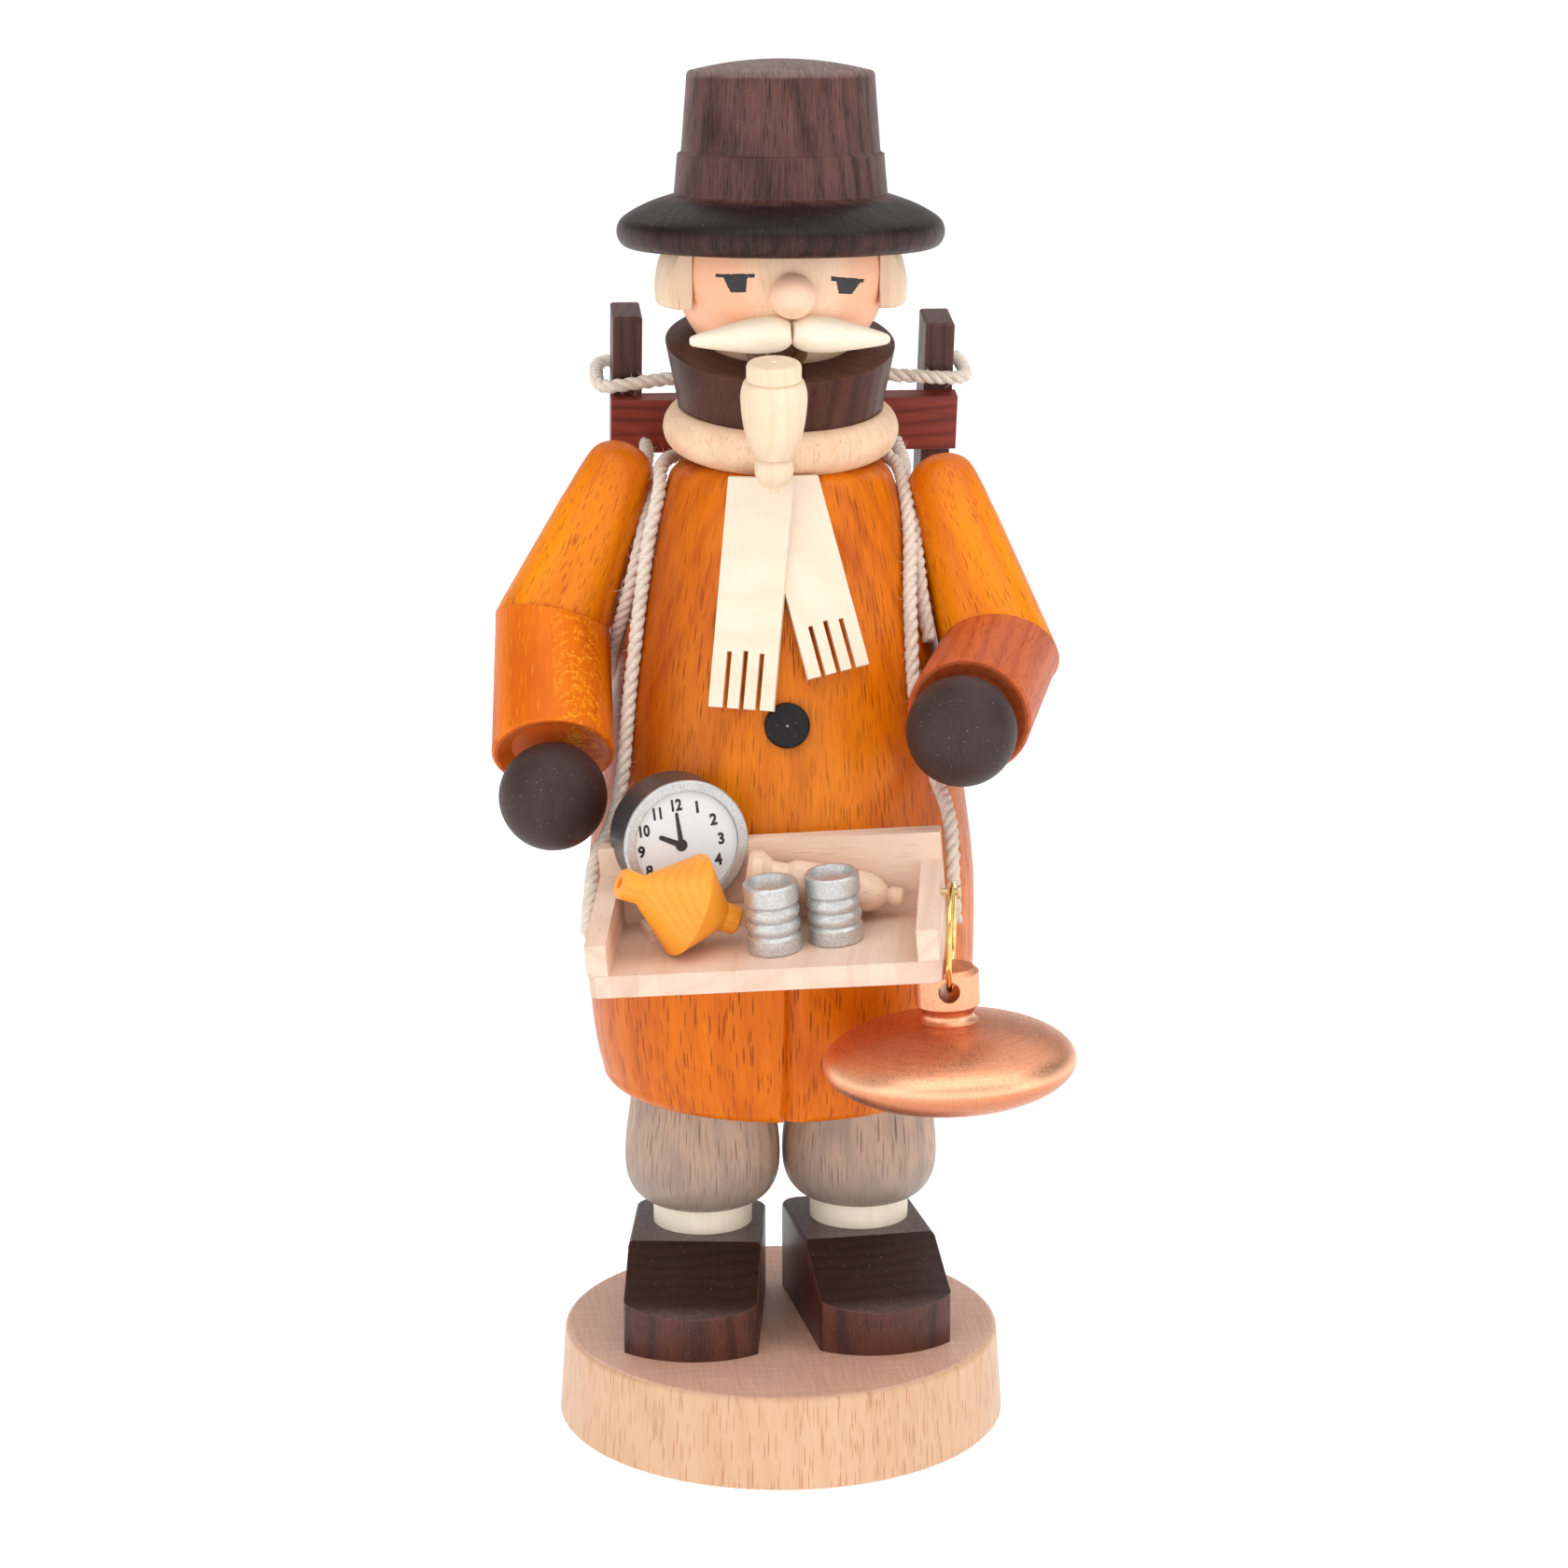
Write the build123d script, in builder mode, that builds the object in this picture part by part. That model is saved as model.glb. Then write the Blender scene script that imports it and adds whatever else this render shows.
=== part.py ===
from build123d import *
import os
from math import sin, cos, tan, radians, degrees, sqrt, pi, atan2

# Turned and carved peddler figure that smokes: a lift-off coat stands over an incense
# cone on a burner plate, and the smoke leaves through the mouth.  Millimetres, +Z up,
# the figure looks along -Y.  The pieces are laid out about the figure's turning axis and kept with
# the origin at the centre of the base's underside.

os.makedirs("parts", exist_ok=True)

# ----------------------------------------------------------------- driving dimensions
BASE_C = (-0.90, -8.67, 3.54)            # centre of the base's underside; the figure stands behind its middle
BASE_R_LOW, BASE_R_TOP, BASE_H = 36.11, 35.07, 14.78
BASE_TOP = BASE_C[2] + BASE_H
SHOE_W, SHOE_H, SHOE_TOE_H = 21.4, 32.8 - BASE_TOP, 8.1
SHOE_REAR, SHOE_FLAT_FRONT, SHOE_TOE, SHOE_TOE_CORNER = 10.4, -11.1, -27.2, -23.2
SHOE_YAW = {"right": 8.0, "left": 5.5}
SHOE_SHIFT = -0.65
LEG_X, LEG_R, LEG_TOP_R = 12.9, 12.65, 11.7
SOCK_R, SOCK_Z0, SOCK_Z1 = 8.07, 32.8, 36.7
LEG_Z1 = 58.5
LEG_DOWEL_D = 5.0
BURNER_R, BURNER_H = 25.0, 8.0
AIR_HOLE_D, AIR_HOLE_Y = 5.0, 18.0
DISH_R, DISH_T = 9.0, 0.5
NAIL_D = 1.6

COAT_Z0, COAT_Z1 = 57.5, 158.0
COAT_RECESS_R = 25.2
COAT_SHOULDER_Z = 66.55
CHAMBER_R, CHAMBER_Z1 = 21.0, 112.0
NECK_BORE_R, NECK_BORE_Z = 7.0, 124.0
# outer radius of the coat against height
COAT_OUT = [(29.0, 60.0), (30.1, 65.0), (30.9, 73.0), (31.2, 84.0), (31.0, 92.0), (29.8, 102.6),
            (27.8, 116.0), (25.7, 127.0), (22.5, 140.0), (19.7, 150.0), (17.8, 155.0)]
# groove up the coat's front: height, coat radius there, left edge, right edge, depth
SLIT = [(56.5, 27.6, -3.2, 1.2, 1.9), (65.0, 30.1, -2.95, 0.85, 1.55), (78.0, 31.15, -2.65, 0.4, 1.15), (91.0, 31.05, -2.4, 0.0, 0.5)]
SLIT_X = -1.95
BUTTON_D, BUTTON_T, BUTTON_AZ, BUTTON_Z = 6.9, 1.7, -3.9, 120.8

COLLAR_FOOT_R, COLLAR_Z0 = 12.0, 158.0
COLLAR_R0, COLLAR_R1, COLLAR_RIM_Z, COLLAR_SLANT = 15.6, 19.0, 176.3, 14.5
SCARF_R, SCARF_IN_R, SCARF_Z0, SCARF_Z1 = 18.5, 12.02, 158.02, 165.0
SCARF_LEAN, SCARF_LIFT = 9.0, 1.7
NECK_TUBE_R, NECK_TUBE_BORE = 6.0, 2.5
HEAD_R, HEAD_Z = 16.6, 188.0
HAT_Z0, HAT_Z1 = 191.3, 220.0
MOUTH_D, MOUTH_Z = 6.0, 176.2
NOSE_R, NOSE_Y, NOSE_Z = 3.5, -17.6, 185.2
HAIR_IN_R, HAIR_Z0, HAIR_CUT_Y = 16.7, 182.4, -8.4

TAIL_T = 1.3
ARM_ELBOW_R, ARM_CUFF_R = 9.05, 9.5
HAND_R = 8.35

TRAY_O = (-3.97, -31.31, 93.10)          # middle of the rear edge at floor level
TRAY_EX = (0.97912, -0.18973, 0.07303)   # along the tray to the figure's left
TRAY_EZ = (-0.09129, -0.08983, 0.99176)  # out of the tray floor
TRAY_W, TRAY_D, TRAY_T = 52.08, 24.89, 3.45
TRAY_BACK_H, TRAY_BACK_T = 12.28, 3.03
TRAY_SIDE_T, TRAY_SIDE_H0, TRAY_SIDE_H1 = 3.18, 7.93, 4.89

CLOCK_D, CLOCK_DEPTH, DIAL_D = 19.37, 9.8, 16.05
CAN_D, CAN_H = 8.2, 10.6
RING_R, RING_WIRE = 7.95, 0.9
PIN_D = 1.1
FLASK_R, FLASK_HALF_H, FLASK_KNOB_R, FLASK_NECK_R = 19.1, 6.65, 4.85, 3.85
FLASK_HOLE_R, FLASK_DROP, FLASK_TILT = 1.6, 11.9, 2.4

FRAME_O = (2.7, 19.6, 161.0)             # on the front face of the top board
FRAME_LEAN = 13.0
POST_X, POST_W, POST_DEPTH = 25.4, 4.7, 8.0
BOARD_T, BOARD_H, BOARD_L = 3.5, 9.0, 56.4
CORD_D = 2.2


# ----------------------------------------------------------------- small geometry helpers
def unit(v):
    return Vector(*v).normalized()


def turning_plane(o, a):
    """Plane whose local Y runs along a, so that a profile is drawn as (radius, length)."""
    a = unit(a)
    ref = Vector(0, 0, 1) if abs(a.Z) < 0.9 else Vector(1, 0, 0)
    x = ref.cross(a).normalized()
    return Plane(origin=o, x_dir=x, z_dir=x.cross(a))


def along(o, d, s):
    return Vector(*o) + unit(d) * s


def coat_radius(z):
    p = [(28.0, 57.5)] + COAT_OUT + [(16.2, 157.4), (14.6, 158.0)]
    for (r0, z0), (r1, z1) in zip(p, p[1:]):
        if z0 <= z <= z1:
            return r0 + (r1 - r0) * (z - z0) / (z1 - z0)
    return p[-1][0]


def on_coat(az, z, off):
    """Point outside the coat at an azimuth (0 is the front, + to the figure's left)."""
    r = coat_radius(z) + off
    return (r * sin(radians(az)), -r * cos(radians(az)), z)


TRAY = Plane(origin=TRAY_O, x_dir=TRAY_EX, z_dir=TRAY_EZ)
TEX, TEY, TEZ = TRAY.x_dir, TRAY.y_dir, TRAY.z_dir


def tray_pt(x, y, z):
    return Vector(*TRAY_O) + TEX * x + TEY * y + TEZ * z


fl = radians(FRAME_LEAN)
FRAME = Plane(origin=FRAME_O, x_dir=(1, 0, 0), z_dir=(0, -sin(fl), cos(fl)))


def frame_pt(x, y, z):
    return Vector(*FRAME_O) + FRAME.x_dir * x + FRAME.y_dir * y + FRAME.z_dir * z


def keep(piece, name):
    """Name a finished piece and store it with the base's underside at the origin."""
    piece = piece.moved(Location((-BASE_C[0], -BASE_C[1], -BASE_C[2])))
    piece.label = name
    export_step(piece, f"parts/{name}.step")


# ----------------------------------------------------------------- stand
leg_spots = [(-LEG_X, 0), (LEG_X, 0)]

with BuildPart() as base_disc:
    with BuildSketch(Plane(origin=BASE_C, x_dir=(1, 0, 0), z_dir=(0, -1, 0))):
        with BuildLine():
            Polyline((0, 0), (BASE_R_LOW, 0), (BASE_R_TOP, BASE_H), (0, BASE_H), close=True)
        make_face()
    revolve(axis=Axis(BASE_C, (0, 0, 1)))
    fillet(base_disc.edges().filter_by(GeomType.CIRCLE).sort_by(Axis.Z)[-1], 1.0)
    chamfer(base_disc.edges().filter_by(GeomType.CIRCLE).sort_by(Axis.Z)[0], 0.5)
    with BuildSketch(Plane.XY.offset(BASE_TOP)):
        with Locations(*leg_spots):
            Circle(LEG_DOWEL_D / 2)
    extrude(amount=-8.0, mode=Mode.SUBTRACT)
keep(base_disc.part, "base_disc")

for side, sx in (("right", -1), ("left", 1)):
    yaw = radians(SHOE_YAW[side])
    shoe_plane = Plane(origin=(sx * LEG_X + SHOE_SHIFT, 0, BASE_TOP), x_dir=(cos(yaw), sx * sin(yaw), 0), z_dir=(0, 0, 1))
    with BuildPart() as shoe:
        with BuildSketch(shoe_plane):
            with BuildLine():
                Polyline((-SHOE_W / 2, SHOE_TOE_CORNER), (-SHOE_W / 2, SHOE_REAR),
                         (SHOE_W / 2, SHOE_REAR), (SHOE_W / 2, SHOE_TOE_CORNER))
                ThreePointArc((SHOE_W / 2, SHOE_TOE_CORNER), (0, SHOE_TOE), (-SHOE_W / 2, SHOE_TOE_CORNER))
            make_face()
        extrude(amount=SHOE_H)
        uprights = shoe.edges().filter_by(Axis.Z)
        rear = uprights.sort_by(Axis(origin=shoe_plane.origin, direction=shoe_plane.y_dir))[-2:]
        fillet(rear, 3.2)
        toe = shoe.edges().filter_by(Axis.Z).sort_by(Axis(origin=shoe_plane.origin, direction=shoe_plane.y_dir))[:2]
        fillet(toe, 1.2)
        # sloping instep
        with BuildSketch(Plane(origin=shoe_plane.origin, x_dir=shoe_plane.y_dir, z_dir=shoe_plane.x_dir)):
            with BuildLine():
                instep = FilletPolyline((SHOE_FLAT_FRONT, SHOE_H), (SHOE_TOE_CORNER, SHOE_TOE_H), (SHOE_TOE - 6, SHOE_TOE_H - 2.5), radius=25.0)
                Polyline(instep @ 1, (SHOE_TOE - 6, SHOE_H + 3), (SHOE_FLAT_FRONT, SHOE_H + 3), instep @ 0)
            make_face()
        extrude(amount=SHOE_W, both=True, mode=Mode.SUBTRACT)
        top = shoe.faces().sort_by(Axis.Z)[-1]
        fillet(top.edges().sort_by(Axis(origin=shoe_plane.origin, direction=shoe_plane.y_dir))[1:], 0.6)
        with BuildSketch(Plane.XY.offset(BASE_TOP)):
            with Locations((sx * LEG_X, 0)):
                Circle(LEG_DOWEL_D / 2)
        extrude(amount=SHOE_H + 1, mode=Mode.SUBTRACT)
    keep(shoe.part, f"shoe_{side}")

    with BuildPart() as sock:
        with BuildSketch(Plane.XY.offset(SOCK_Z0)):
            with Locations((sx * LEG_X, 0)):
                Circle(SOCK_R)
                Circle(LEG_DOWEL_D / 2, mode=Mode.SUBTRACT)
        extrude(amount=SOCK_Z1 - SOCK_Z0)
    keep(sock.part, f"sock_{side}")

    with BuildPart() as leg:
        with BuildSketch(Plane(origin=(sx * LEG_X, 0, 0), x_dir=(1, 0, 0), z_dir=(0, -1, 0))):
            with BuildLine():
                l1 = Line((LEG_DOWEL_D / 2, SOCK_Z1), (8.4, SOCK_Z1))
                l2 = Spline((8.4, SOCK_Z1), (10.9, 38.3), (12.2, 40.6), (LEG_R, 43.6), (12.5, 47.5), (LEG_TOP_R, LEG_Z1))
                Line(l2 @ 1, (LEG_DOWEL_D / 2, LEG_Z1))
                Line((LEG_DOWEL_D / 2, LEG_Z1), l1 @ 0)
            make_face()
        revolve(axis=Axis((sx * LEG_X, 0, 0), (0, 0, 1)))
    keep(leg.part, f"leg_{side}")

with BuildPart() as leg_dowels:
    with BuildSketch(Plane.XY.offset(BASE_TOP - 7.6)):
        with Locations(*leg_spots):
            Circle(LEG_DOWEL_D / 2 - 0.02)
    extrude(amount=LEG_Z1 + 5.0 - (BASE_TOP - 7.6))
keep(leg_dowels.part, "leg_dowels")

BURNER_Z1 = LEG_Z1 + BURNER_H
with BuildPart() as burner_disc:
    with BuildSketch(Plane.XY.offset(LEG_Z1)):
        Circle(BURNER_R)
        with Locations((0, AIR_HOLE_Y), (0, -AIR_HOLE_Y)):
            Circle(AIR_HOLE_D / 2, mode=Mode.SUBTRACT)
    extrude(amount=BURNER_H)
    chamfer(burner_disc.edges().filter_by(GeomType.CIRCLE).group_by(Axis.Z)[-1].sort_by(SortBy.RADIUS)[-1], 0.8)
    with BuildSketch(Plane.XY.offset(LEG_Z1)):
        with Locations(*leg_spots):
            Circle(LEG_DOWEL_D / 2)
    extrude(amount=5.2, mode=Mode.SUBTRACT)
    with BuildSketch(Plane.XY.offset(BURNER_Z1)):
        Circle(NAIL_D / 2)
    extrude(amount=-6.0, mode=Mode.SUBTRACT)
keep(burner_disc.part, "burner_disc")

with BuildPart() as cone_dish:
    with BuildSketch(Plane.XZ):
        with BuildLine():
            Polyline((NAIL_D / 2, BURNER_Z1), (6.4, BURNER_Z1), (8.2, BURNER_Z1 + 1.5), (DISH_R, BURNER_Z1 + 1.5),
                     (DISH_R, BURNER_Z1 + 1.5 + DISH_T), (7.9, BURNER_Z1 + 1.5 + DISH_T), (6.1, BURNER_Z1 + DISH_T),
                     (NAIL_D / 2, BURNER_Z1 + DISH_T), close=True)
        make_face()
    revolve(axis=Axis.Z)
keep(cone_dish.part, "cone_dish")

with BuildPart() as dish_nail:
    with BuildSketch(Plane.XZ):
        with BuildLine():
            Polyline((0, BURNER_Z1 - 5.8), (NAIL_D / 2 - 0.02, BURNER_Z1 - 5.0), (NAIL_D / 2 - 0.02, BURNER_Z1 + DISH_T),
                     (1.7, BURNER_Z1 + DISH_T), (1.7, BURNER_Z1 + DISH_T + 0.3), (0.9, BURNER_Z1 + DISH_T + 0.8),
                     (0, BURNER_Z1 + DISH_T + 0.95), close=True)
        make_face()
    revolve(axis=Axis.Z)
keep(dish_nail.part, "dish_nail")

# ----------------------------------------------------------------- arms: places and directions
ARMS = {
    "right": dict(S=(-23.5, 3.6, 160.3), E=(-36.1, 2.9, 131.9), H=(-37.4, -21.4, 109.4), seat=7.8, dy=0.0),
    "left": dict(S=(24.05, -2.2, 158.6), E=(33.1, -12.3, 128.3), H=(22.95, -40.6, 122.3), seat=5.6, dy=2.6),
}
for a in ARMS.values():
    a["u1"] = (Vector(*a["E"]) - Vector(*a["S"])).normalized()
    a["L1"] = (Vector(*a["E"]) - Vector(*a["S"])).length
    a["u2"] = (Vector(*a["H"]) - Vector(*a["E"])).normalized()
    a["L2"] = (Vector(*a["H"]) - Vector(*a["E"])).length - a["seat"]
    a["n"] = (a["u1"] + a["u2"]).normalized()
    a["mitre"] = Plane(origin=a["E"], z_dir=a["n"])
SHOULDER_Z = 141.0
SHOULDER_D, ELBOW_D, HAND_DOWEL_D = 4.0, 3.5, 3.0
for side, a in ARMS.items():
    t = (a["S"][2] - SHOULDER_Z) / -a["u1"].Z
    a["dowel_in"] = Vector(*a["S"]) + a["u1"] * t + Vector(0, a["dy"], 0)

# ----------------------------------------------------------------- coat
TRAY_DOWEL_D, TRAY_DOWEL_X = 2.4, -2.0
with BuildPart() as coat:
    with BuildSketch(Plane.XZ):
        with BuildLine():
            bottom = Line((COAT_RECESS_R, COAT_Z0), (26.9, COAT_Z0))
            curl = ThreePointArc((26.9, COAT_Z0), (28.35, 58.25), COAT_OUT[0])
            out = Spline(*COAT_OUT)
            ThreePointArc(out @ 1, (16.6, 157.1), (14.6, COAT_Z1))
            Polyline((14.6, COAT_Z1), (NECK_TUBE_R, COAT_Z1), (NECK_TUBE_R, 150.0), (NECK_BORE_R, 149.0), (NECK_BORE_R, NECK_BORE_Z), (CHAMBER_R, CHAMBER_Z1),
                     (CHAMBER_R, COAT_SHOULDER_Z), (COAT_RECESS_R, COAT_SHOULDER_Z), (COAT_RECESS_R, COAT_Z0))
        make_face()
    revolve(axis=Axis.Z)
    # opening of the coat: a groove up the front that widens to the hem
    for z, r, x0, x1, depth in SLIT:
        with BuildSketch(Plane.XY.offset(z)):
            with BuildLine():
                Polyline((x0, -40), (x0, -r + 0.1), (SLIT_X, -r + depth), (x1, -r - 0.1), (x1, -40), close=True)
            make_face()
    loft(ruled=True, mode=Mode.SUBTRACT)
    # flat seat for the button
    bn = on_coat(BUTTON_AZ, BUTTON_Z, -0.25)
    slope = 9.5
    bdir = Vector(sin(radians(BUTTON_AZ)) * cos(radians(slope)), -cos(radians(BUTTON_AZ)) * cos(radians(slope)), sin(radians(slope)))
    button_plane = Plane(origin=bn, z_dir=bdir)
    with BuildSketch(button_plane):
        Circle(BUTTON_D / 2 + 0.02)
    extrude(amount=3, mode=Mode.SUBTRACT)
    # dowel holes for the arms and the tray
    for a in ARMS.values():
        px, py, pz = a["dowel_in"].X, a["dowel_in"].Y, a["dowel_in"].Z
        with BuildSketch(Plane(origin=(px, py, pz), z_dir=(-1 if px > 0 else 1, 0, 0))):
            Circle(SHOULDER_D / 2)
        extrude(amount=abs(px) - 13.0, mode=Mode.SUBTRACT)
    with BuildSketch(Plane(origin=tray_pt(TRAY_DOWEL_X, -4, -TRAY_T / 2), z_dir=TEY)):
        Circle(TRAY_DOWEL_D / 2)
    extrude(amount=9.6, mode=Mode.SUBTRACT)
keep(coat.part, "coat")

with BuildPart() as coat_button:
    with BuildSketch(button_plane):
        Circle(BUTTON_D / 2)
    extrude(amount=BUTTON_T)
    fillet(coat_button.edges().sort_by(Axis(origin=bn, direction=bdir))[-1], 0.45)
keep(coat_button.part, "coat_button")

# plain body of revolution just outside the coat, used to seat pieces against it
with BuildPart() as coat_form:
    with BuildSketch(Plane.XZ):
        with BuildLine():
            Line((0, COAT_Z0), (COAT_OUT[0][0] + 0.03, COAT_Z0))
            Line((COAT_OUT[0][0] + 0.03, COAT_Z0), (COAT_OUT[0][0] + 0.03, COAT_OUT[0][1]))
            o2 = Spline(*[(r + 0.03, z) for r, z in COAT_OUT])
            ThreePointArc(o2 @ 1, (16.63, 157.13), (14.63, COAT_Z1 + 0.02))
            Polyline((14.63, COAT_Z1 + 0.02), (0, COAT_Z1 + 0.02), (0, COAT_Z0))
        make_face()
    revolve(axis=Axis.Z)

# ----------------------------------------------------------------- neck, collar, scarf ring
with BuildPart() as neck_tube:
    with BuildSketch(Plane.XZ):
        with BuildLine():
            Polyline((NECK_TUBE_BORE, 150.2), (NECK_TUBE_R - 0.02, 150.2), (NECK_TUBE_R - 0.02, 173.98), (NECK_TUBE_BORE, 173.98), close=True)
        make_face()
    revolve(axis=Axis.Z)
keep(neck_tube.part, "neck_tube")

slant = radians(COLLAR_SLANT)
with BuildPart() as collar:
    with BuildSketch(Plane.XZ):
        with BuildLine():
            Polyline((NECK_TUBE_R, COLLAR_Z0), (COLLAR_FOOT_R, COLLAR_Z0), (COLLAR_FOOT_R, 163.6), (COLLAR_R0, 163.9))
            Spline((COLLAR_R0, 163.9), (16.1, 167.0), (17.2, 172.5), (COLLAR_R1, 186.0))
            Polyline((COLLAR_R1, 186.0), (NECK_TUBE_R, 186.0), (NECK_TUBE_R, COLLAR_Z0))
        make_face()
    revolve(axis=Axis.Z)
    split(bisect_by=Plane(origin=(0, 0, COLLAR_RIM_Z), x_dir=(1, 0, 0), z_dir=(0, -sin(slant), cos(slant))), keep=Keep.BOTTOM)
    with Locations((0, 0, HEAD_Z)):
        Sphere(HEAD_R + 0.12, mode=Mode.SUBTRACT)
keep(collar.part, "collar")

# plain body just outside the collar, used to seat the ring
with BuildPart() as collar_form:
    with BuildSketch(Plane.XZ):
        with BuildLine():
            Polyline((0, 155.0), (SCARF_IN_R, 155.0), (SCARF_IN_R, 163.58), (COLLAR_R0 + 0.02, 163.88))
            Spline((COLLAR_R0 + 0.02, 163.88), (16.12, 167.0), (17.22, 172.5), (COLLAR_R1 + 0.02, 186.0))
            Polyline((COLLAR_R1 + 0.02, 186.0), (0, 186.0), (0, 155.0))
        make_face()
    revolve(axis=Axis.Z)

with BuildPart() as ring_blank:
    with BuildSketch(Plane.XZ):
        with BuildLine():
            Polyline((14.6, SCARF_Z0), (10.5, SCARF_Z0), (10.5, 164.4), (14.4, 164.7))
            Spline((14.4, 164.7), (15.9, SCARF_Z1), (17.4, 164.2), (SCARF_R, 161.6), (17.8, 159.4), (16.4, 158.3), (14.6, SCARF_Z0))
        make_face()
    revolve(axis=Axis.Z)
# the ring hangs lower at the front than at the nape
leaning = ring_blank.part.rotate(Axis((0, 0, (SCARF_Z0 + SCARF_Z1) / 2), (1, 0, 0)), SCARF_LEAN).moved(Location((0, 0, SCARF_LIFT)))
with BuildPart() as scarf_ring:
    add(leaning)
    add(collar_form.part, mode=Mode.SUBTRACT)
    add(coat_form.part, mode=Mode.SUBTRACT)
keep(scarf_ring.part, "scarf_ring")

# ----------------------------------------------------------------- scarf tails
tails = {
    "long": dict(top=(-4.75, -18.7, 157.9), low=(-8.7, -27.05, 123.55), w=10.1, slots=3, depth=8.6),
    "short": dict(top=(-1.2, -17.4, 157.6), low=(5.95, -26.55, 128.85), w=9.7, slots=3, depth=7.8),
}
for name, t in tails.items():
    d = (Vector(*t["low"]) - Vector(*t["top"]))
    length = d.length
    d = d.normalized()
    az = atan2((t["low"][0] + t["top"][0]) / 2, -(t["low"][1] + t["top"][1]) / 2)
    outw = Vector(sin(az), -cos(az), 0)
    nrm = (outw - d * outw.dot(d)).normalized()
    # local X across, local Y up the tail, local Z out of the coat
    tail_plane = Plane(origin=t["low"], x_dir=(d * -1).cross(nrm), z_dir=nrm)
    with BuildPart() as tail:
        with BuildSketch(tail_plane):
            with BuildLine():
                Polyline((-t["w"] / 2, 0), (t["w"] / 2, 0), (t["w"] / 2, length), (-t["w"] / 2, length), close=True)
            make_face()
            pitch = t["w"] / (t["slots"] + 1)
            with Locations(*[(-t["w"] / 2 + pitch * (i + 1), t["depth"] / 2 - 0.5 + 0.25 * (i % 2)) for i in range(t["slots"])]):
                Rectangle(0.75, t["depth"] + 1.0, mode=Mode.SUBTRACT)
        extrude(amount=TAIL_T)
        add(coat_form.part, mode=Mode.SUBTRACT)
        if name == "short":
            add(tails["long"]["part"], mode=Mode.SUBTRACT)
        with BuildSketch(Plane.XY.offset(SCARF_Z0 - 0.05)):
            Circle(40)
        extrude(amount=10, mode=Mode.SUBTRACT)
        add(leaning, mode=Mode.SUBTRACT)
    keep(tail.part, f"scarf_tail_{name}")
    t["part"] = tail.part

# ----------------------------------------------------------------- head
PIPE_LOW, PIPE_DIR = (-3.65, -25.3, 156.6), unit((-0.02, -0.19, 0.98))
STEM_D = 2.7
stem_a = Vector(-5.0, -6.6, 176.6)
stem_b = along(PIPE_LOW, PIPE_DIR, 13.6)
stem_dir = (stem_b - stem_a).normalized()
with BuildPart() as head:
    with BuildSketch(Plane.XZ):
        with BuildLine():
            zt = HAT_Z0 - HEAD_Z
            zb = 172.2 - HEAD_Z
            rt, rb = sqrt(HEAD_R ** 2 - zt ** 2), sqrt(HEAD_R ** 2 - zb ** 2)
            Line((0, 172.2), (rb, 172.2))
            ThreePointArc((rb, 172.2), (HEAD_R * cos(radians(-35)), HEAD_Z + HEAD_R * sin(radians(-35))), (rt, HAT_Z0))
            Polyline((rt, HAT_Z0), (0, HAT_Z0), (0, 172.2))
        make_face()
    revolve(axis=Axis.Z)
    with BuildSketch(Plane.XY.offset(172.0)):
        Circle(NECK_TUBE_R)
    extrude(amount=2.0, mode=Mode.SUBTRACT)
    with BuildSketch(Plane.XY.offset(172.0)):
        Circle(NECK_TUBE_BORE)
    extrude(amount=7.0, mode=Mode.SUBTRACT)
    with BuildSketch(Plane(origin=(0, 0, MOUTH_Z + 0.6), z_dir=(0, -1, -0.12))):
        Circle(MOUTH_D / 2)
    extrude(amount=30, mode=Mode.SUBTRACT)
    with BuildSketch(Plane(origin=stem_a, z_dir=stem_dir)):
        Circle(STEM_D / 2)
    extrude(amount=14, mode=Mode.SUBTRACT)
keep(head.part, "head")

with BuildPart() as head_form:
    with Locations((0, 0, HEAD_Z)):
        Sphere(HEAD_R + 0.02)

with BuildPart() as nose:
    with Locations((0, NOSE_Y, NOSE_Z)):
        Sphere(NOSE_R)
    add(head_form.part, mode=Mode.SUBTRACT)
keep(nose.part, "nose")

for side, sx in (("right", -1), ("left", 1)):
    tip = Vector(sx * 15.3, -13.4, 178.1)
    root = Vector(sx * 0.03, -16.5, 179.6)
    mp = turning_plane(root, tip - root)
    ml = (tip - root).length
    with BuildPart() as moustache:
        with BuildSketch(mp):
            with BuildLine():
                Line((0, 0), (1.5, 0))
                ms = Spline((1.5, 0), (2.45, 1.2), (2.83, 3.6), (2.7, 6.0), (2.0, 10.0), (1.25, 13.6), (0.8, ml - 0.35))
                Polyline(ms @ 1, (0.5, ml), (0, ml), (0, 0))
            make_face()
        revolve(axis=Axis(mp.origin, mp.y_dir))
        add(head_form.part, mode=Mode.SUBTRACT)
        split(bisect_by=Plane(origin=(sx * 0.03, 0, 0), z_dir=(sx, 0, 0)), keep=Keep.TOP)
    keep(moustache.part, f"moustache_{side}")

with BuildPart() as hair:
    with BuildSketch(Plane.XZ):
        with BuildLine():
            Polyline((18.2, HAT_Z0), (HAIR_IN_R, HAT_Z0), (HAIR_IN_R, HAIR_Z0), (18.4, HAIR_Z0))
            ThreePointArc((18.4, HAIR_Z0), (19.3, HAIR_Z0 + 0.4), (19.6, HAIR_Z0 + 1.4))
            Spline((19.6, HAIR_Z0 + 1.4), (19.65, 186.0), (19.2, 188.8), (18.2, HAT_Z0))
        make_face()
    revolve(axis=Axis.Z)
    split(bisect_by=Plane(origin=(0, HAIR_CUT_Y, 0), z_dir=(0, 1, 0)), keep=Keep.TOP)
keep(hair.part, "hair")

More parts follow.
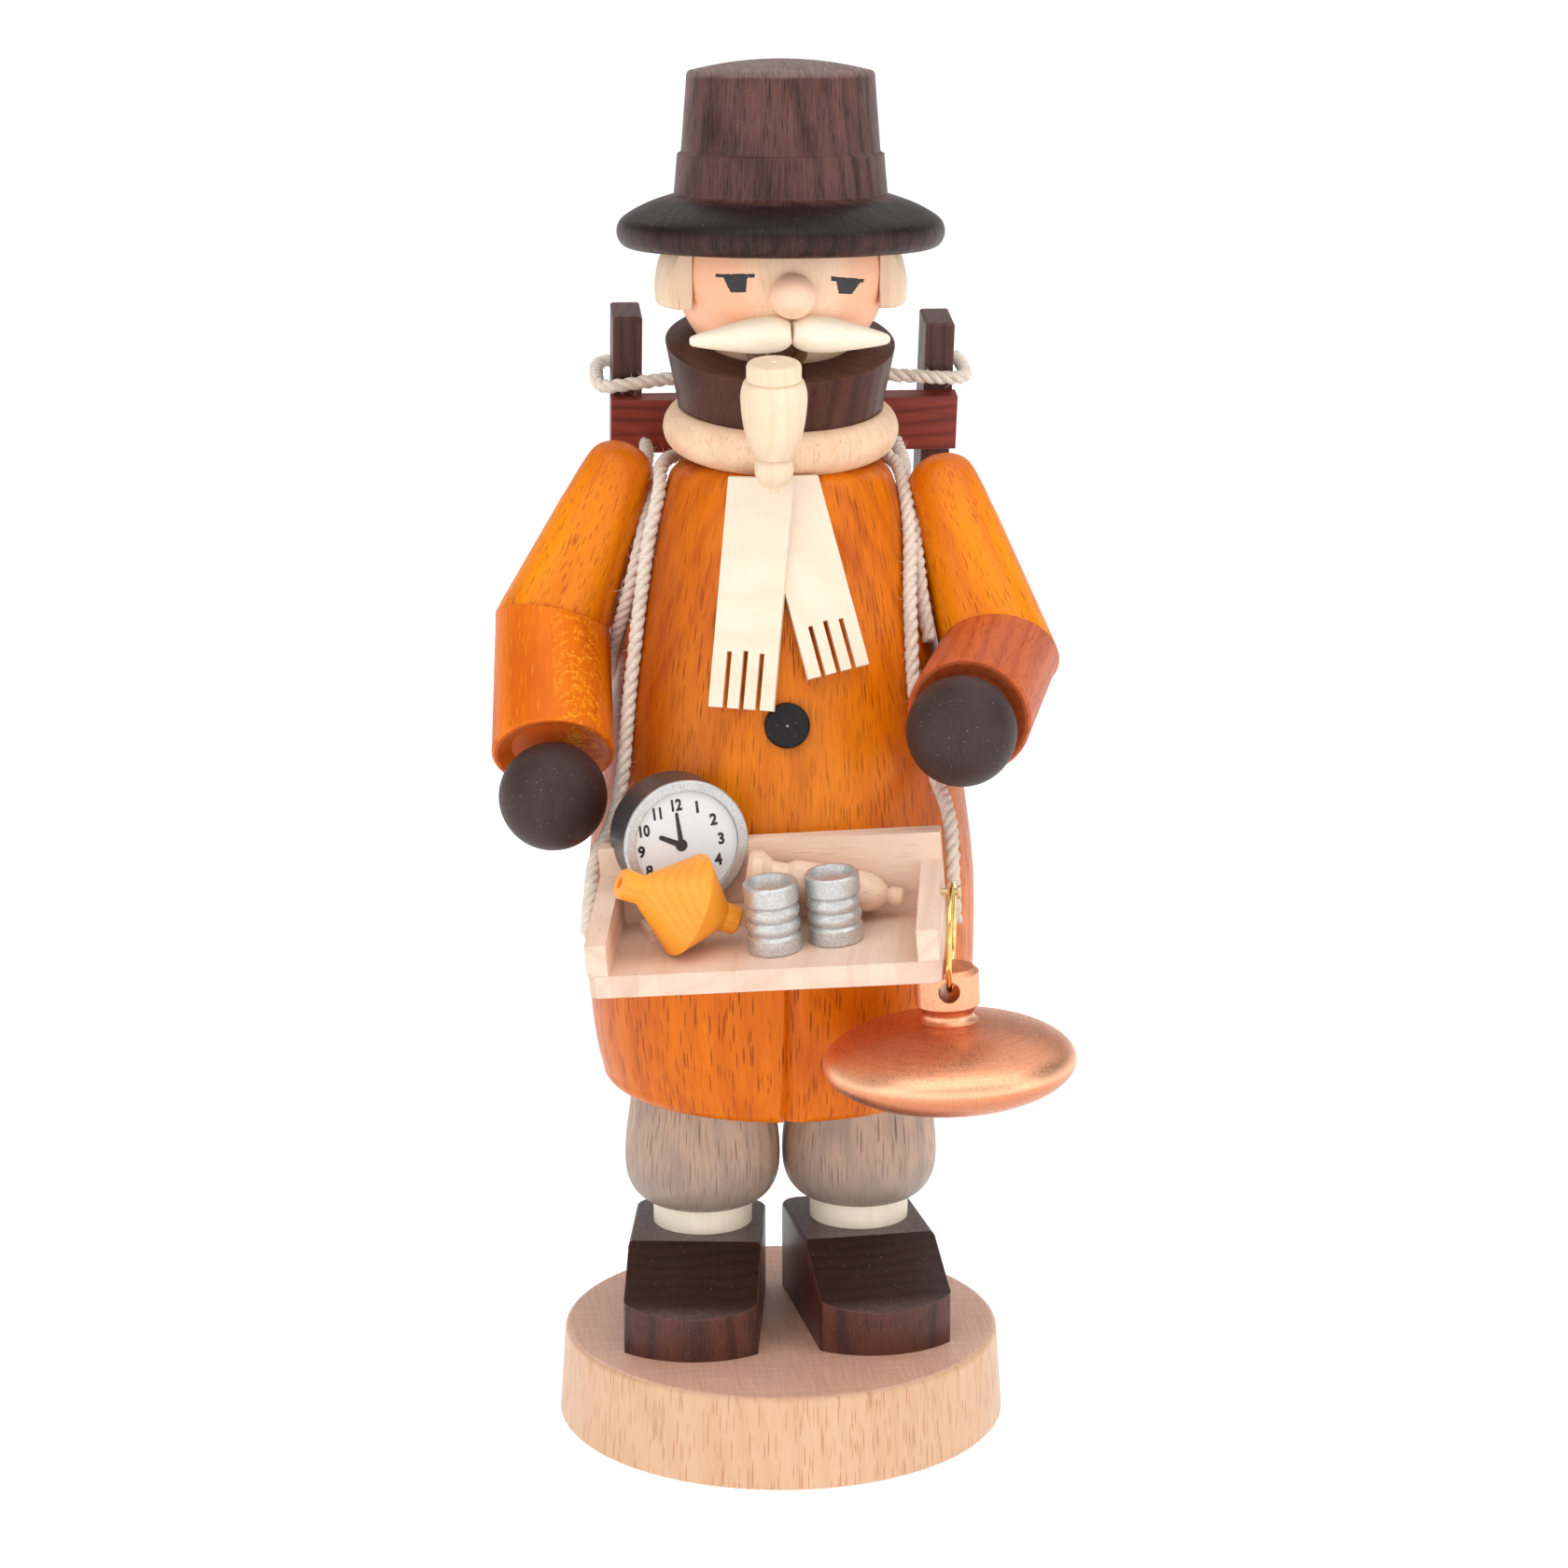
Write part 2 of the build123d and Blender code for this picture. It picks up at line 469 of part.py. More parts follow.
with BuildPart() as hat:
    with BuildSketch(Plane.XZ):
        with BuildLine():
            Polyline((0, HAT_Z1), (0, HAT_Z0), (23.2, HAT_Z0))
            Spline((23.2, HAT_Z0), (24.8, 191.9), (25.5, 193.9), (25.0, 195.4), (23.7, 196.5), (20.4, 198.2), (17.2, 199.3))
            Polyline((17.2, 199.3), (16.6, 199.5), (16.05, 205.6), (15.45, 206.0))
            crown = Line((15.45, 206.0), (14.55, 217.5))
            ThreePointArc((14.55, 217.5), (14.32, 218.06), (13.75, 218.3))
            cap_r = (13.75 ** 2 + 1.7 ** 2) / 3.4
            ThreePointArc((13.75, HAT_Z1 - 1.7), (6.9, HAT_Z1 - cap_r + sqrt(cap_r ** 2 - 6.9 ** 2)), (0, HAT_Z1))
        make_face()
    revolve(axis=Axis.Z)
keep(hat.part, "hat")

# ----------------------------------------------------------------- pipe
with BuildPart() as pipe_bowl:
    pp = turning_plane(PIPE_LOW, PIPE_DIR)
    with BuildSketch(pp):
        with BuildLine():
            Line((0, 5.6), (2.95, 5.6))
            bs = Spline((2.95, 5.6), (3.75, 7.3), (4.55, 10.2), (4.98, 13.5), (4.93, 16.0), (4.5, 17.3))
            Line(bs @ 1, (4.0, 17.5))
            Line((4.0, 17.5), (4.15, 17.7))
            Line((4.15, 17.7), (4.15, 19.5))
            ThreePointArc((4.15, 19.5), (3.9, 20.05), (3.3, 20.3))
            Polyline((3.3, 20.3), (0, 20.35), (0, 5.6))
        make_face()
    revolve(axis=Axis(pp.origin, pp.y_dir))
    with BuildSketch(Plane(origin=stem_a, z_dir=stem_dir)):
        Circle(STEM_D / 2)
    extrude(amount=(stem_b - stem_a).length - 1.6, mode=Mode.SUBTRACT)
keep(pipe_bowl.part, "pipe_bowl")

with BuildPart() as pipe_knob:
    with BuildSketch(pp):
        with BuildLine():
            Line((0, 0.0), (0.75, 0.0))
            Line((0.75, 0.0), (0.75, 0.9))
            ks = Spline((0.75, 0.9), (2.2, 1.5), (2.95, 3.2), (2.75, 4.8), (2.3, 5.55))
            Polyline(ks @ 1, (0, 5.55), (0, 0))
        make_face()
    revolve(axis=Axis(pp.origin, pp.y_dir))
keep(pipe_knob.part, "pipe_knob")

with BuildPart() as pipe_stem:
    with BuildSketch(Plane(origin=stem_a, z_dir=stem_dir)):
        Circle(STEM_D / 2 - 0.02)
    extrude(amount=(stem_b - stem_a).length - 1.65)
keep(pipe_stem.part, "pipe_stem")

# ----------------------------------------------------------------- arms and hands
for side, a in ARMS.items():
    S, E, H = Vector(*a["S"]), Vector(*a["E"]), Vector(*a["H"])
    up = turning_plane(S, a["u1"])
    L1 = a["L1"]
    with BuildPart() as upper_arm:
        with BuildSketch(up):
            with BuildLine():
                us = Spline((0, 0), (2.8, 0.55), (4.75, 2.2), (5.6, 4.8), (6.1, 8.0), (6.65, 11.9))
                Polyline(us @ 1, (ARM_ELBOW_R - 0.1, L1), (ARM_ELBOW_R + 0.5, L1 + 10), (0, L1 + 10), (0, 0))
            make_face()
        revolve(axis=Axis(up.origin, up.y_dir))
        split(bisect_by=a["mitre"], keep=Keep.BOTTOM)
        add(coat_form.part, mode=Mode.SUBTRACT)
        px, py, pz = a["dowel_in"].X, a["dowel_in"].Y, a["dowel_in"].Z
        with BuildSketch(Plane(origin=(px, py, pz), z_dir=(-1 if px > 0 else 1, 0, 0))):
            Circle(SHOULDER_D / 2)
        extrude(amount=15, mode=Mode.SUBTRACT)
        with BuildSketch(Plane(origin=E, z_dir=a["n"] * -1)):
            Circle(ELBOW_D / 2)
        extrude(amount=6, mode=Mode.SUBTRACT)
    keep(upper_arm.part, f"upper_arm_{side}")

    fp = turning_plane(E, a["u2"])
    L2 = a["L2"]
    with BuildPart() as forearm:
        with BuildSketch(fp):
            with BuildLine():
                Polyline((0, -10), (ARM_ELBOW_R - 0.1, -10), (ARM_ELBOW_R + 0.05, 2), (ARM_CUFF_R, L2 - 0.5), (ARM_CUFF_R - 0.4, L2),
                         (ARM_CUFF_R - 0.9, L2), (6.4, L2 - 1.4), (0, L2 - 1.4), close=True)
            make_face()
        revolve(axis=Axis(fp.origin, fp.y_dir))
        split(bisect_by=a["mitre"], keep=Keep.TOP)
        with Locations(H):
            Sphere(HAND_R + 0.02, mode=Mode.SUBTRACT)
        with BuildSketch(Plane(origin=E, z_dir=a["n"])):
            Circle(ELBOW_D / 2)
        extrude(amount=6, mode=Mode.SUBTRACT)
        with BuildSketch(Plane(origin=along(E, a["u2"], L2 - 7), z_dir=a["u2"])):
            Circle(HAND_DOWEL_D / 2)
        extrude(amount=8, mode=Mode.SUBTRACT)
    keep(forearm.part, f"forearm_{side}")

    with BuildPart() as hand:
        with Locations(H):
            Sphere(HAND_R)
        with BuildSketch(Plane(origin=along(E, a["u2"], L2 - 7), z_dir=a["u2"])):
            Circle(HAND_DOWEL_D / 2)
        extrude(amount=7 + a["seat"], mode=Mode.SUBTRACT)
    keep(hand.part, f"hand_{side}")

with BuildPart() as arm_dowels:
    for a in ARMS.values():
        px, py, pz = a["dowel_in"].X, a["dowel_in"].Y, a["dowel_in"].Z
        with BuildSketch(Plane(origin=(px, py, pz), z_dir=(-1 if px > 0 else 1, 0, 0))):
            Circle(SHOULDER_D / 2 - 0.02)
        extrude(amount=abs(px) - 13.3)
        with BuildSketch(Plane(origin=along(a["E"], a["n"], -5.6), z_dir=a["n"])):
            Circle(ELBOW_D / 2 - 0.02)
        extrude(amount=11.2)
        with BuildSketch(Plane(origin=along(a["E"], a["u2"], a["L2"] - 6.6), z_dir=a["u2"])):
            Circle(HAND_DOWEL_D / 2 - 0.02)
        extrude(amount=6.6 + a["seat"] - 0.4)
keep(arm_dowels.part, "arm_dowels")

# ----------------------------------------------------------------- tray
with BuildPart() as tray_floor:
    with BuildSketch(TRAY):
        with Locations((0, -TRAY_D / 2)):
            Rectangle(TRAY_W, TRAY_D)
    extrude(amount=-TRAY_T)
    fillet(tray_floor.edges().filter_by(lambda e: abs(abs((e % 0.5).dot(TEZ)) - 1) < 1e-4)
           .sort_by(Axis(origin=TRAY_O, direction=TEY))[:2], 1.6)
    with BuildSketch(Plane(origin=tray_pt(TRAY_DOWEL_X, -6, -TRAY_T / 2), z_dir=TEY)):
        Circle(TRAY_DOWEL_D / 2)
    extrude(amount=7, mode=Mode.SUBTRACT)
    add(coat_form.part, mode=Mode.SUBTRACT)
keep(tray_floor.part, "tray_floor")

with BuildPart() as tray_back:
    with BuildSketch(TRAY):
        with Locations((0, -TRAY_BACK_T / 2)):
            Rectangle(TRAY_W, TRAY_BACK_T)
    extrude(amount=TRAY_BACK_H)
    add(coat_form.part, mode=Mode.SUBTRACT)
keep(tray_back.part, "tray_back")

PIN_Y, PIN_Z, RING_X = -10.6, 5.35, 27.6       # ring pin in tray axes
HX = Vector(TRAY_EX[0], TRAY_EX[1], 0).normalized()
HY = Vector(0, 0, 1).cross(HX)
PIN_P = tray_pt(RING_X, PIN_Y, PIN_Z)
for side, sx in (("right", -1), ("left", 1)):
    with BuildPart() as tray_side:
        x0 = sx * (TRAY_W / 2)
        with BuildSketch(Plane(origin=tray_pt(x0, 0, 0), x_dir=TEY, z_dir=TEX)):
            with BuildLine():
                Polyline((-TRAY_BACK_T, 0), (-TRAY_BACK_T, TRAY_SIDE_H0), (-TRAY_D, TRAY_SIDE_H1), (-TRAY_D, 0), close=True)
            make_face()
        extrude(amount=-sx * TRAY_SIDE_T)
        if sx > 0:
            with BuildSketch(Plane(origin=PIN_P + HX * 1.0, z_dir=HX * -1)):
                Circle(PIN_D / 2)
            extrude(amount=5.2, mode=Mode.SUBTRACT)
    keep(tray_side.part, f"tray_side_{side}")

with BuildPart() as ring_pin:
    with BuildSketch(Plane(origin=PIN_P + HX * -4.0, z_dir=HX)):
        Circle(PIN_D / 2 - 0.02)
    extrude(amount=4.9)
    with BuildSketch(Plane(origin=PIN_P + HX * 0.9, z_dir=HX)):
        Circle(1.0)
    extrude(amount=0.5)
    fillet(ring_pin.edges().filter_by(GeomType.CIRCLE).sort_by(Axis(origin=PIN_P, direction=HX))[-1], 0.2)
keep(ring_pin.part, "ring_pin")

# ----------------------------------------------------------------- hanging ring and flask
RING_C = PIN_P + Vector(0, 0, PIN_D / 2 - 0.02 + 0.06 - (RING_R - RING_WIRE / 2))
with BuildPart() as hanging_ring:
    with Locations(Plane(origin=RING_C, x_dir=HY, z_dir=HX).location):
        Torus(RING_R, RING_WIRE / 2)
keep(hanging_ring.part, "hanging_ring")

HOLE_P = RING_C + Vector(0, 0, -RING_R + 0.55)
tl = radians(FLASK_TILT)
# the turned axis leans a little because the hole was drilled off its middle
FLASK_AX = (Vector(0, 0, 1) * cos(tl) - HX * sin(tl)).normalized()
FLASK_C = HOLE_P + Vector(0, 0, -FLASK_DROP)
fpl = Plane(origin=FLASK_C, x_dir=HY.cross(FLASK_AX), z_dir=HY.cross(FLASK_AX).cross(FLASK_AX))
with BuildPart() as copper_flask:
    d = FLASK_DROP
    with BuildSketch(fpl):
        with BuildLine():
            zz = FLASK_HALF_H * sqrt(1 - (4.6 / FLASK_R) ** 2)
            body = EllipticalCenterArc((0, 0), FLASK_R, FLASK_HALF_H, start_angle=-90, arc_size=90 + degrees(atan2(zz / FLASK_HALF_H, 4.6 / FLASK_R)))
            s1 = Spline(body @ 1, (FLASK_NECK_R, d - 4.4), (FLASK_NECK_R + 0.35, d - 3.4))
            Polyline(s1 @ 1, (FLASK_KNOB_R, d - 2.9), (FLASK_KNOB_R, d + 2.1), (FLASK_KNOB_R - 0.8, d + 2.8), (0, d + 2.9), (0, -FLASK_HALF_H))
        make_face()
    revolve(axis=Axis(fpl.origin, fpl.y_dir))
    with BuildSketch(Plane(origin=HOLE_P - HY * 10, z_dir=HY)):
        Circle(FLASK_HOLE_R)
    extrude(amount=20, mode=Mode.SUBTRACT)
keep(copper_flask.part, "copper_flask")

# ----------------------------------------------------------------- goods in the tray
CLOCK_YAW = 21.5
cy = radians(CLOCK_YAW)
CLOCK_F = tray_pt(-11.84, -6.42, 13.56)
cback = radians(7.0)
CLOCK_N = (TEX * sin(cy) - TEY * cos(cy)) * cos(cback) + TEZ * sin(cback)     # the way the dial faces
CLOCK_N = CLOCK_N.normalized()
cx = TEZ.cross(CLOCK_N * -1).normalized() * -1
clock_plane = Plane(origin=CLOCK_F, x_dir=cx, z_dir=CLOCK_N)
with BuildPart() as clock_case:
    with BuildSketch(clock_plane):
        Circle(CLOCK_D / 2)
    extrude(amount=-CLOCK_DEPTH)
    rims = clock_case.edges().filter_by(GeomType.CIRCLE).sort_by(Axis(origin=CLOCK_F, direction=CLOCK_N))
    fillet(rims[-1], 0.5)
    chamfer(rims[0], 0.5)
    with BuildSketch(clock_plane):
        Circle(DIAL_D / 2)
    extrude(amount=-1.1, mode=Mode.SUBTRACT)
    # slot with which the case sits astride the tray's back board
    with BuildSketch(TRAY):
        with Locations((0, -TRAY_BACK_T / 2)):
            Rectangle(TRAY_W + 4, TRAY_BACK_T + 0.04)
    extrude(amount=TRAY_BACK_H + 0.02, mode=Mode.SUBTRACT)
    add(coat_form.part, mode=Mode.SUBTRACT)
keep(clock_case.part, "clock_case")

with BuildPart() as clock_dial:
    with BuildSketch(Plane(origin=CLOCK_F - CLOCK_N * 1.1, x_dir=cx, z_dir=CLOCK_N)):
        Circle(DIAL_D / 2 - 0.02)
    extrude(amount=0.5)
    with BuildSketch(TRAY):
        with Locations((0, -TRAY_BACK_T / 2)):
            Rectangle(TRAY_W + 4, TRAY_BACK_T + 0.04)
    extrude(amount=TRAY_BACK_H + 0.02, mode=Mode.SUBTRACT)
keep(clock_dial.part, "clock_dial")

with BuildPart() as clock_form:
    with BuildSketch(clock_plane):
        Circle(CLOCK_D / 2 + 0.02)
    extrude(amount=-CLOCK_DEPTH)

TOP_EQ_R = 7.9
top_dir = (TEX * -0.82 - TEY * 0.32 + TEZ * 0.47).normalized()
top_c = tray_pt(-11.45, -15.77, 7.3)
tp = turning_plane(top_c, top_dir)
with BuildPart() as spinning_top:
    with BuildSketch(tp):
        with BuildLine():
            Polyline((0, -8.3), (1.9, -8.3), (2.2, -8.0), (2.25, -5.8), (2.6, -5.4), (TOP_EQ_R - 0.3, -0.5))
            ThreePointArc((TOP_EQ_R - 0.3, -0.5), (TOP_EQ_R, 0), (TOP_EQ_R - 0.3, 0.5))
            Polyline((TOP_EQ_R - 0.3, 0.5), (2.6, 7.2), (2.2, 7.7), (2.35, 10.8), (2.0, 11.2), (0.9, 11.2), (0.75, 9.8), (0, 9.8), (0, -8.3))
        make_face()
    revolve(axis=Axis(tp.origin, tp.y_dir))
keep(spinning_top.part, "spinning_top")

for name, (cxl, cyl) in {"front": (1.25, -16.6), "back": (10.2, -13.75)}.items():
    with BuildPart() as can:
        cp = Plane(origin=tray_pt(cxl, cyl, 0), x_dir=TEY, z_dir=TEX)
        r = CAN_D / 2
        with BuildSketch(cp):
            with BuildLine():
                Polyline((0, 0), (r - 0.2, 0), (r, 0.2), (r, 2.4), (r - 0.5, 2.9))
                ThreePointArc((r - 0.5, 2.9), (r - 0.02, 3.95), (r - 0.5, 5.0))
                ThreePointArc((r - 0.5, 5.0), (r - 0.02, 6.1), (r - 0.5, 7.2))
                Polyline((r - 0.5, 7.2), (r, 7.7), (r, CAN_H - 0.25), (r - 0.25, CAN_H), (r - 0.75, CAN_H), (r - 1.0, CAN_H - 0.9),
                         (0, CAN_H - 0.9), (0, 0))
            make_face()
        revolve(axis=Axis(cp.origin, cp.y_dir))
    keep(can.part, f"can_{name}")

mill_l, mill_r = tray_pt(-3.2, -6.9, 8.75), tray_pt(20.3, -5.95, 3.0)
mlp = turning_plane(mill_l, mill_r - mill_l)
with BuildPart() as pepper_mill:
    with BuildSketch(mlp):
        with BuildLine():
            Polyline((0, 0), (2.9, 0), (3.6, 0.7), (3.6, 2.1), (2.9, 3.1), (2.35, 3.7), (2.35, 6.0), (3.1, 7.0), (3.1, 14.2), (2.8, 14.4), (3.05, 14.6), (3.05, 16.5))
            Spline((3.05, 16.5), (2.9, 18.6), (1.9, 20.7), (1.0, 21.5))
            Polyline((1.0, 21.5), (1.45, 22.0), (1.45, 23.5), (1.0, 24.0), (0, 24.0), (0, 0))
        make_face()
    revolve(axis=Axis(mlp.origin, mlp.y_dir))
keep(pepper_mill.part, "pepper_mill")

with BuildPart() as goods_form:
    with BuildSketch(clock_plane.offset(-CLOCK_DEPTH / 2)):
        Circle(CLOCK_D / 2 + 0.02)
    extrude(amount=CLOCK_DEPTH / 2 + 3, both=True)
    with BuildSketch(Plane(origin=mill_l - mlp.y_dir * 3, z_dir=mlp.y_dir)):
        Circle(3.62)
    extrude(amount=12)

# foot of the clock: a thin plate with blocks that cradle the case and the mill's end
stand_plane = Plane(origin=tray_pt(-13.4, -7.4, 0.0), x_dir=(TEX * cos(cy) + TEY * sin(cy)), z_dir=TEZ)
with BuildPart() as clock_stand:
    with BuildSketch(stand_plane):
        Rectangle(12.0, 5.6)
    extrude(amount=2.0)
    with BuildSketch(TRAY):
        with Locations((-8.0, -4.9)):
            Rectangle(17.0, 3.4)
    extrude(amount=2.6)
    with BuildSketch(TRAY):
        with Locations((-11.8, -4.9)):
            Rectangle(9.0, 3.4)
        with Locations((-1.0, -5.6)):
            Rectangle(3.4, 4.8)
    extrude(amount=8.2)
    with BuildSketch(TRAY):
        with Locations((0, -TRAY_BACK_T / 2)):
            Rectangle(TRAY_W + 4, TRAY_BACK_T + 0.04)
    extrude(amount=TRAY_BACK_H + 0.02, mode=Mode.SUBTRACT)
    add(goods_form.part, mode=Mode.SUBTRACT)
keep(clock_stand.part, "clock_stand")

# ----------------------------------------------------------------- back frame
BOARDS = {"top": (0.0, BOARD_H), "middle": (-38.0, 8.0)}
POST_LOW = {"right": -60.0, "left": -60.0}
POST_TOP = {"right": 17.4, "left": 15.8}
for side, sx in (("right", -1), ("left", 1)):
    with BuildPart() as post:
        with BuildSketch(FRAME.offset(POST_LOW[side])):
            with Locations((sx * POST_X, BOARD_T + POST_DEPTH / 2)):
                Rectangle(POST_W, POST_DEPTH)
        extrude(amount=POST_TOP[side] - POST_LOW[side])
        chamfer(post.faces().sort_by(Axis(origin=FRAME_O, direction=FRAME.z_dir))[-1].edges(), 0.35)
        for zc, h in BOARDS.values():
            with BuildSketch(Plane(origin=frame_pt(sx * POST_X, BOARD_T - 1.0, zc), z_dir=FRAME.y_dir)):
                Circle(0.7)
            extrude(amount=5.0, mode=Mode.SUBTRACT)
    keep(post.part, f"frame_post_{side}")

NAIL_SPOTS = []
for name, (zc, h) in BOARDS.items():
    with BuildPart() as board:
        with BuildSketch(FRAME.offset(zc - h / 2)):
            with Locations((0, BOARD_T / 2)):
                Rectangle(BOARD_L, BOARD_T)
        extrude(amount=h)
        add(coat_form.part, mode=Mode.SUBTRACT)
        for sx in (-1, 1):
            with BuildSketch(Plane(origin=frame_pt(sx * POST_X, 1.0, zc), z_dir=FRAME.y_dir)):
                Circle(0.7)
            extrude(amount=BOARD_T, mode=Mode.SUBTRACT)
            NAIL_SPOTS.append((sx * POST_X, zc))
    keep(board.part, f"frame_board_{name}")

with BuildPart() as frame_nails:
    for nx, nz in NAIL_SPOTS:
        with BuildSketch(Plane(origin=frame_pt(nx, 1.1, nz), z_dir=FRAME.y_dir)):
            Circle(0.68)
        extrude(amount=6.2)
keep(frame_nails.part, "frame_nails")

with BuildPart() as frame_shelf:
    with BuildSketch(FRAME.offset(POST_LOW["left"] - 3.0)):
        with Locations((0, 8.0)):
            Rectangle(BOARD_L, 16.0)
    extrude(amount=3.0)
keep(frame_shelf.part, "frame_shelf")

# dowels that hold the tray and the back frame to the coat
with BuildPart() as body_dowels:
    with BuildSketch(Plane(origin=(0, 22.5, 124.0), z_dir=(0, 1, 0))):
        Circle(1.9)
    extrude(amount=8.4)
    add(coat_form.part, mode=Mode.SUBTRACT)
    split(bisect_by=Plane(origin=FRAME_O, z_dir=FRAME.y_dir), keep=Keep.BOTTOM)
    with BuildSketch(Plane(origin=tray_pt(TRAY_DOWEL_X, -5.6, -TRAY_T / 2), z_dir=TEY)):
        Circle(TRAY_DOWEL_D / 2 - 0.02)
    extrude(amount=11.0)
keep(body_dowels.part, "body_dowels")


# ----------------------------------------------------------------- cords
def corner_radii(pts, share=0.45, cap=None):
    rad = []
    for i in range(1, len(pts) - 1):
        u, v = pts[i] - pts[i - 1], pts[i + 1] - pts[i]
        turn = radians(u.get_angle(v))
        r = share * min(u.length, v.length) / tan(turn / 2)
        rad.append(min(r, cap[i - 1]) if cap and cap[i - 1] else r)
    return rad


def route_length(pts, rad):
    total = sum((b - a).length for a, b in zip(pts, pts[1:]))
    for i, r in enumerate(rad):
        u, v = pts[i + 1] - pts[i], pts[i + 2] - pts[i + 1]
        turn = radians(u.get_angle(v))
        total += r * turn - 2 * r * tan(turn / 2)
    return total


C_OFF = CORD_D / 2 + 0.12
routes = {}
# cord that carries the tray: up the chest, round the neck under the scarf ring, down the other side
NECK_R, NECK_Z = 18.45, 157.35


def round_neck(az, dr=0.0, dz=0.0):
    return Vector((NECK_R + dr) * sin(radians(az)), -(NECK_R + dr) * cos(radians(az)), NECK_Z + dz)


routes["tray_cord"] = [
    tray_pt(-27.22, -13.6, 2.6), tray_pt(-27.3, -7.4, 5.6), tray_pt(-27.4, 0.6, 9.4), Vector(-28.3, -19.6, 103.9),
    Vector(*on_coat(-60.0, 111.0, 1.6)), Vector(*on_coat(-63.5, 120.5, 1.3)), Vector(*on_coat(-66.0, 130.0, 1.3)),
    Vector(*on_coat(-70.5, 139.5, 1.35)), Vector(*on_coat(-75.5, 148.0, 1.5)), round_neck(-81.0, 1.0, -3.2),
    round_neck(-95.0, 0.5), round_neck(-119.0, 0.6, 0.2), round_neck(-142.0, 0.5, 0.2), round_neck(-166.0, 0.4, 0.2),
    round_neck(170.0, 0.4, 0.2), round_neck(146.0, 0.5, 0.2), round_neck(122.0, 0.6, 0.2), round_neck(98.0, 0.6), round_neck(77.0, 1.1, -3.2),
    Vector(*on_coat(61.5, 147.8, 1.6)), Vector(*on_coat(50.5, 140.0, 1.45)), Vector(*on_coat(45.0, 131.0, 1.3)),
    Vector(*on_coat(41.5, 121.0, 1.35)), Vector(*on_coat(44.5, 112.0, 2.2)), tray_pt(27.3, 4.6, 12.6),
    tray_pt(27.45, 1.5, 7.4), tray_pt(27.22, 0.2, 1.6), tray_pt(27.22, -0.1, -3.6),
]
# shoulder straps of the back frame
routes["shoulder_strap_right"] = [
    frame_pt(-22.6, 0, -2.8), frame_pt(-22.6, -5.0, -2.8), Vector(-20.9, 9.0, 156.0), Vector(*on_coat(-99.0, 153.2, 1.4)),
    Vector(*on_coat(-89.0, 147.2, 1.3)), Vector(*on_coat(-84.0, 140.8, 1.3)), Vector(*on_coat(-87.0, 133.4, 1.3)),
    Vector(*on_coat(-99.0, 126.2, 1.3)), Vector(*on_coat(-111.0, 121.0, 1.5)), Vector(*on_coat(-124.0, 118.4, 2.2)), Vector(*on_coat(-136.0, 119.2, 2.8)),
    frame_pt(-19.6, -4.4, -38.2), frame_pt(-19.6, 0, -38.2),
]
routes["shoulder_strap_left"] = [
    frame_pt(18.2, 0, -2.8), frame_pt(18.2, -5.0, -2.8), Vector(20.9, 8.6, 156.2), Vector(*on_coat(94.0, 154.2, 1.7)),
    Vector(*on_coat(75.5, 151.0, 1.45)), Vector(*on_coat(64.5, 144.8, 1.3)), Vector(*on_coat(59.0, 137.6, 1.25)),
    Vector(*on_coat(57.4, 131.2, 1.25)),
]
# lashing that ties the two posts behind the collar
zf = 6.5
routes["frame_cord"] = [
    frame_pt(-25.4, 11.5, zf - 0.5), frame_pt(-25.5, 15.4, zf - 0.5), frame_pt(-29.6, 15.6, zf - 0.7), frame_pt(-30.2, 9.6, zf - 0.8), frame_pt(-30.0, 2.3, zf - 0.6),
    frame_pt(-25.2, 1.6, zf + 0.2), frame_pt(-17.0, 2.1, zf + 1.2), frame_pt(-5.0, 2.3, zf + 1.9), frame_pt(6.0, 2.3, zf + 1.9),
    frame_pt(17.0, 2.1, zf + 1.2), frame_pt(25.2, 1.6, zf + 0.7), frame_pt(30.0, 2.3, zf + 0.4), frame_pt(30.2, 9.6, zf + 0.2),
    frame_pt(29.6, 15.6, zf), frame_pt(25.5, 15.4, zf - 0.1), frame_pt(25.4, 11.5, zf - 0.1),
]
for name, pts in routes.items():
    rad = corner_radii(pts)
    with BuildPart() as cord:
        with BuildLine() as run:
            FilletPolyline(*pts, radius=rad)
        wire = run.wires()[0]
        with BuildSketch(Plane(origin=pts[0], z_dir=(pts[1] - pts[0]))):
            Circle(CORD_D / 2)
        sweep(path=wire)
    length = route_length(pts, rad)
    vol = cord.part.volume
    print(name, "length", round(length, 2), "volume", round(vol, 1), "section x length", round(pi * CORD_D ** 2 / 4 * length, 1))
    print("  radii", [round(r, 1) for r in rad])
    print("  route", [tuple(round(c - b, 2) for c, b in zip((p.X, p.Y, p.Z), BASE_C)) for p in pts])
    keep(cord.part, name)

for nm, v in {"PIN_P": PIN_P, "RING_C": RING_C, "HOLE_P": HOLE_P, "FLASK_C": FLASK_C, "CLOCK_F": CLOCK_F, "top_c": top_c}.items():
    print(nm, tuple(round(c - b, 4) for c, b in zip((v.X, v.Y, v.Z), BASE_C)))
for nm, v in {"HX": HX, "HY": HY, "FLASK_AX": FLASK_AX, "CLOCK_N": CLOCK_N, "clock_x": cx, "top_dir": top_dir}.items():
    print(nm, tuple(round(c, 4) for c in (v.X, v.Y, v.Z)))
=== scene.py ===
import bpy, bmesh, math, random
from mathutils import Vector, Matrix


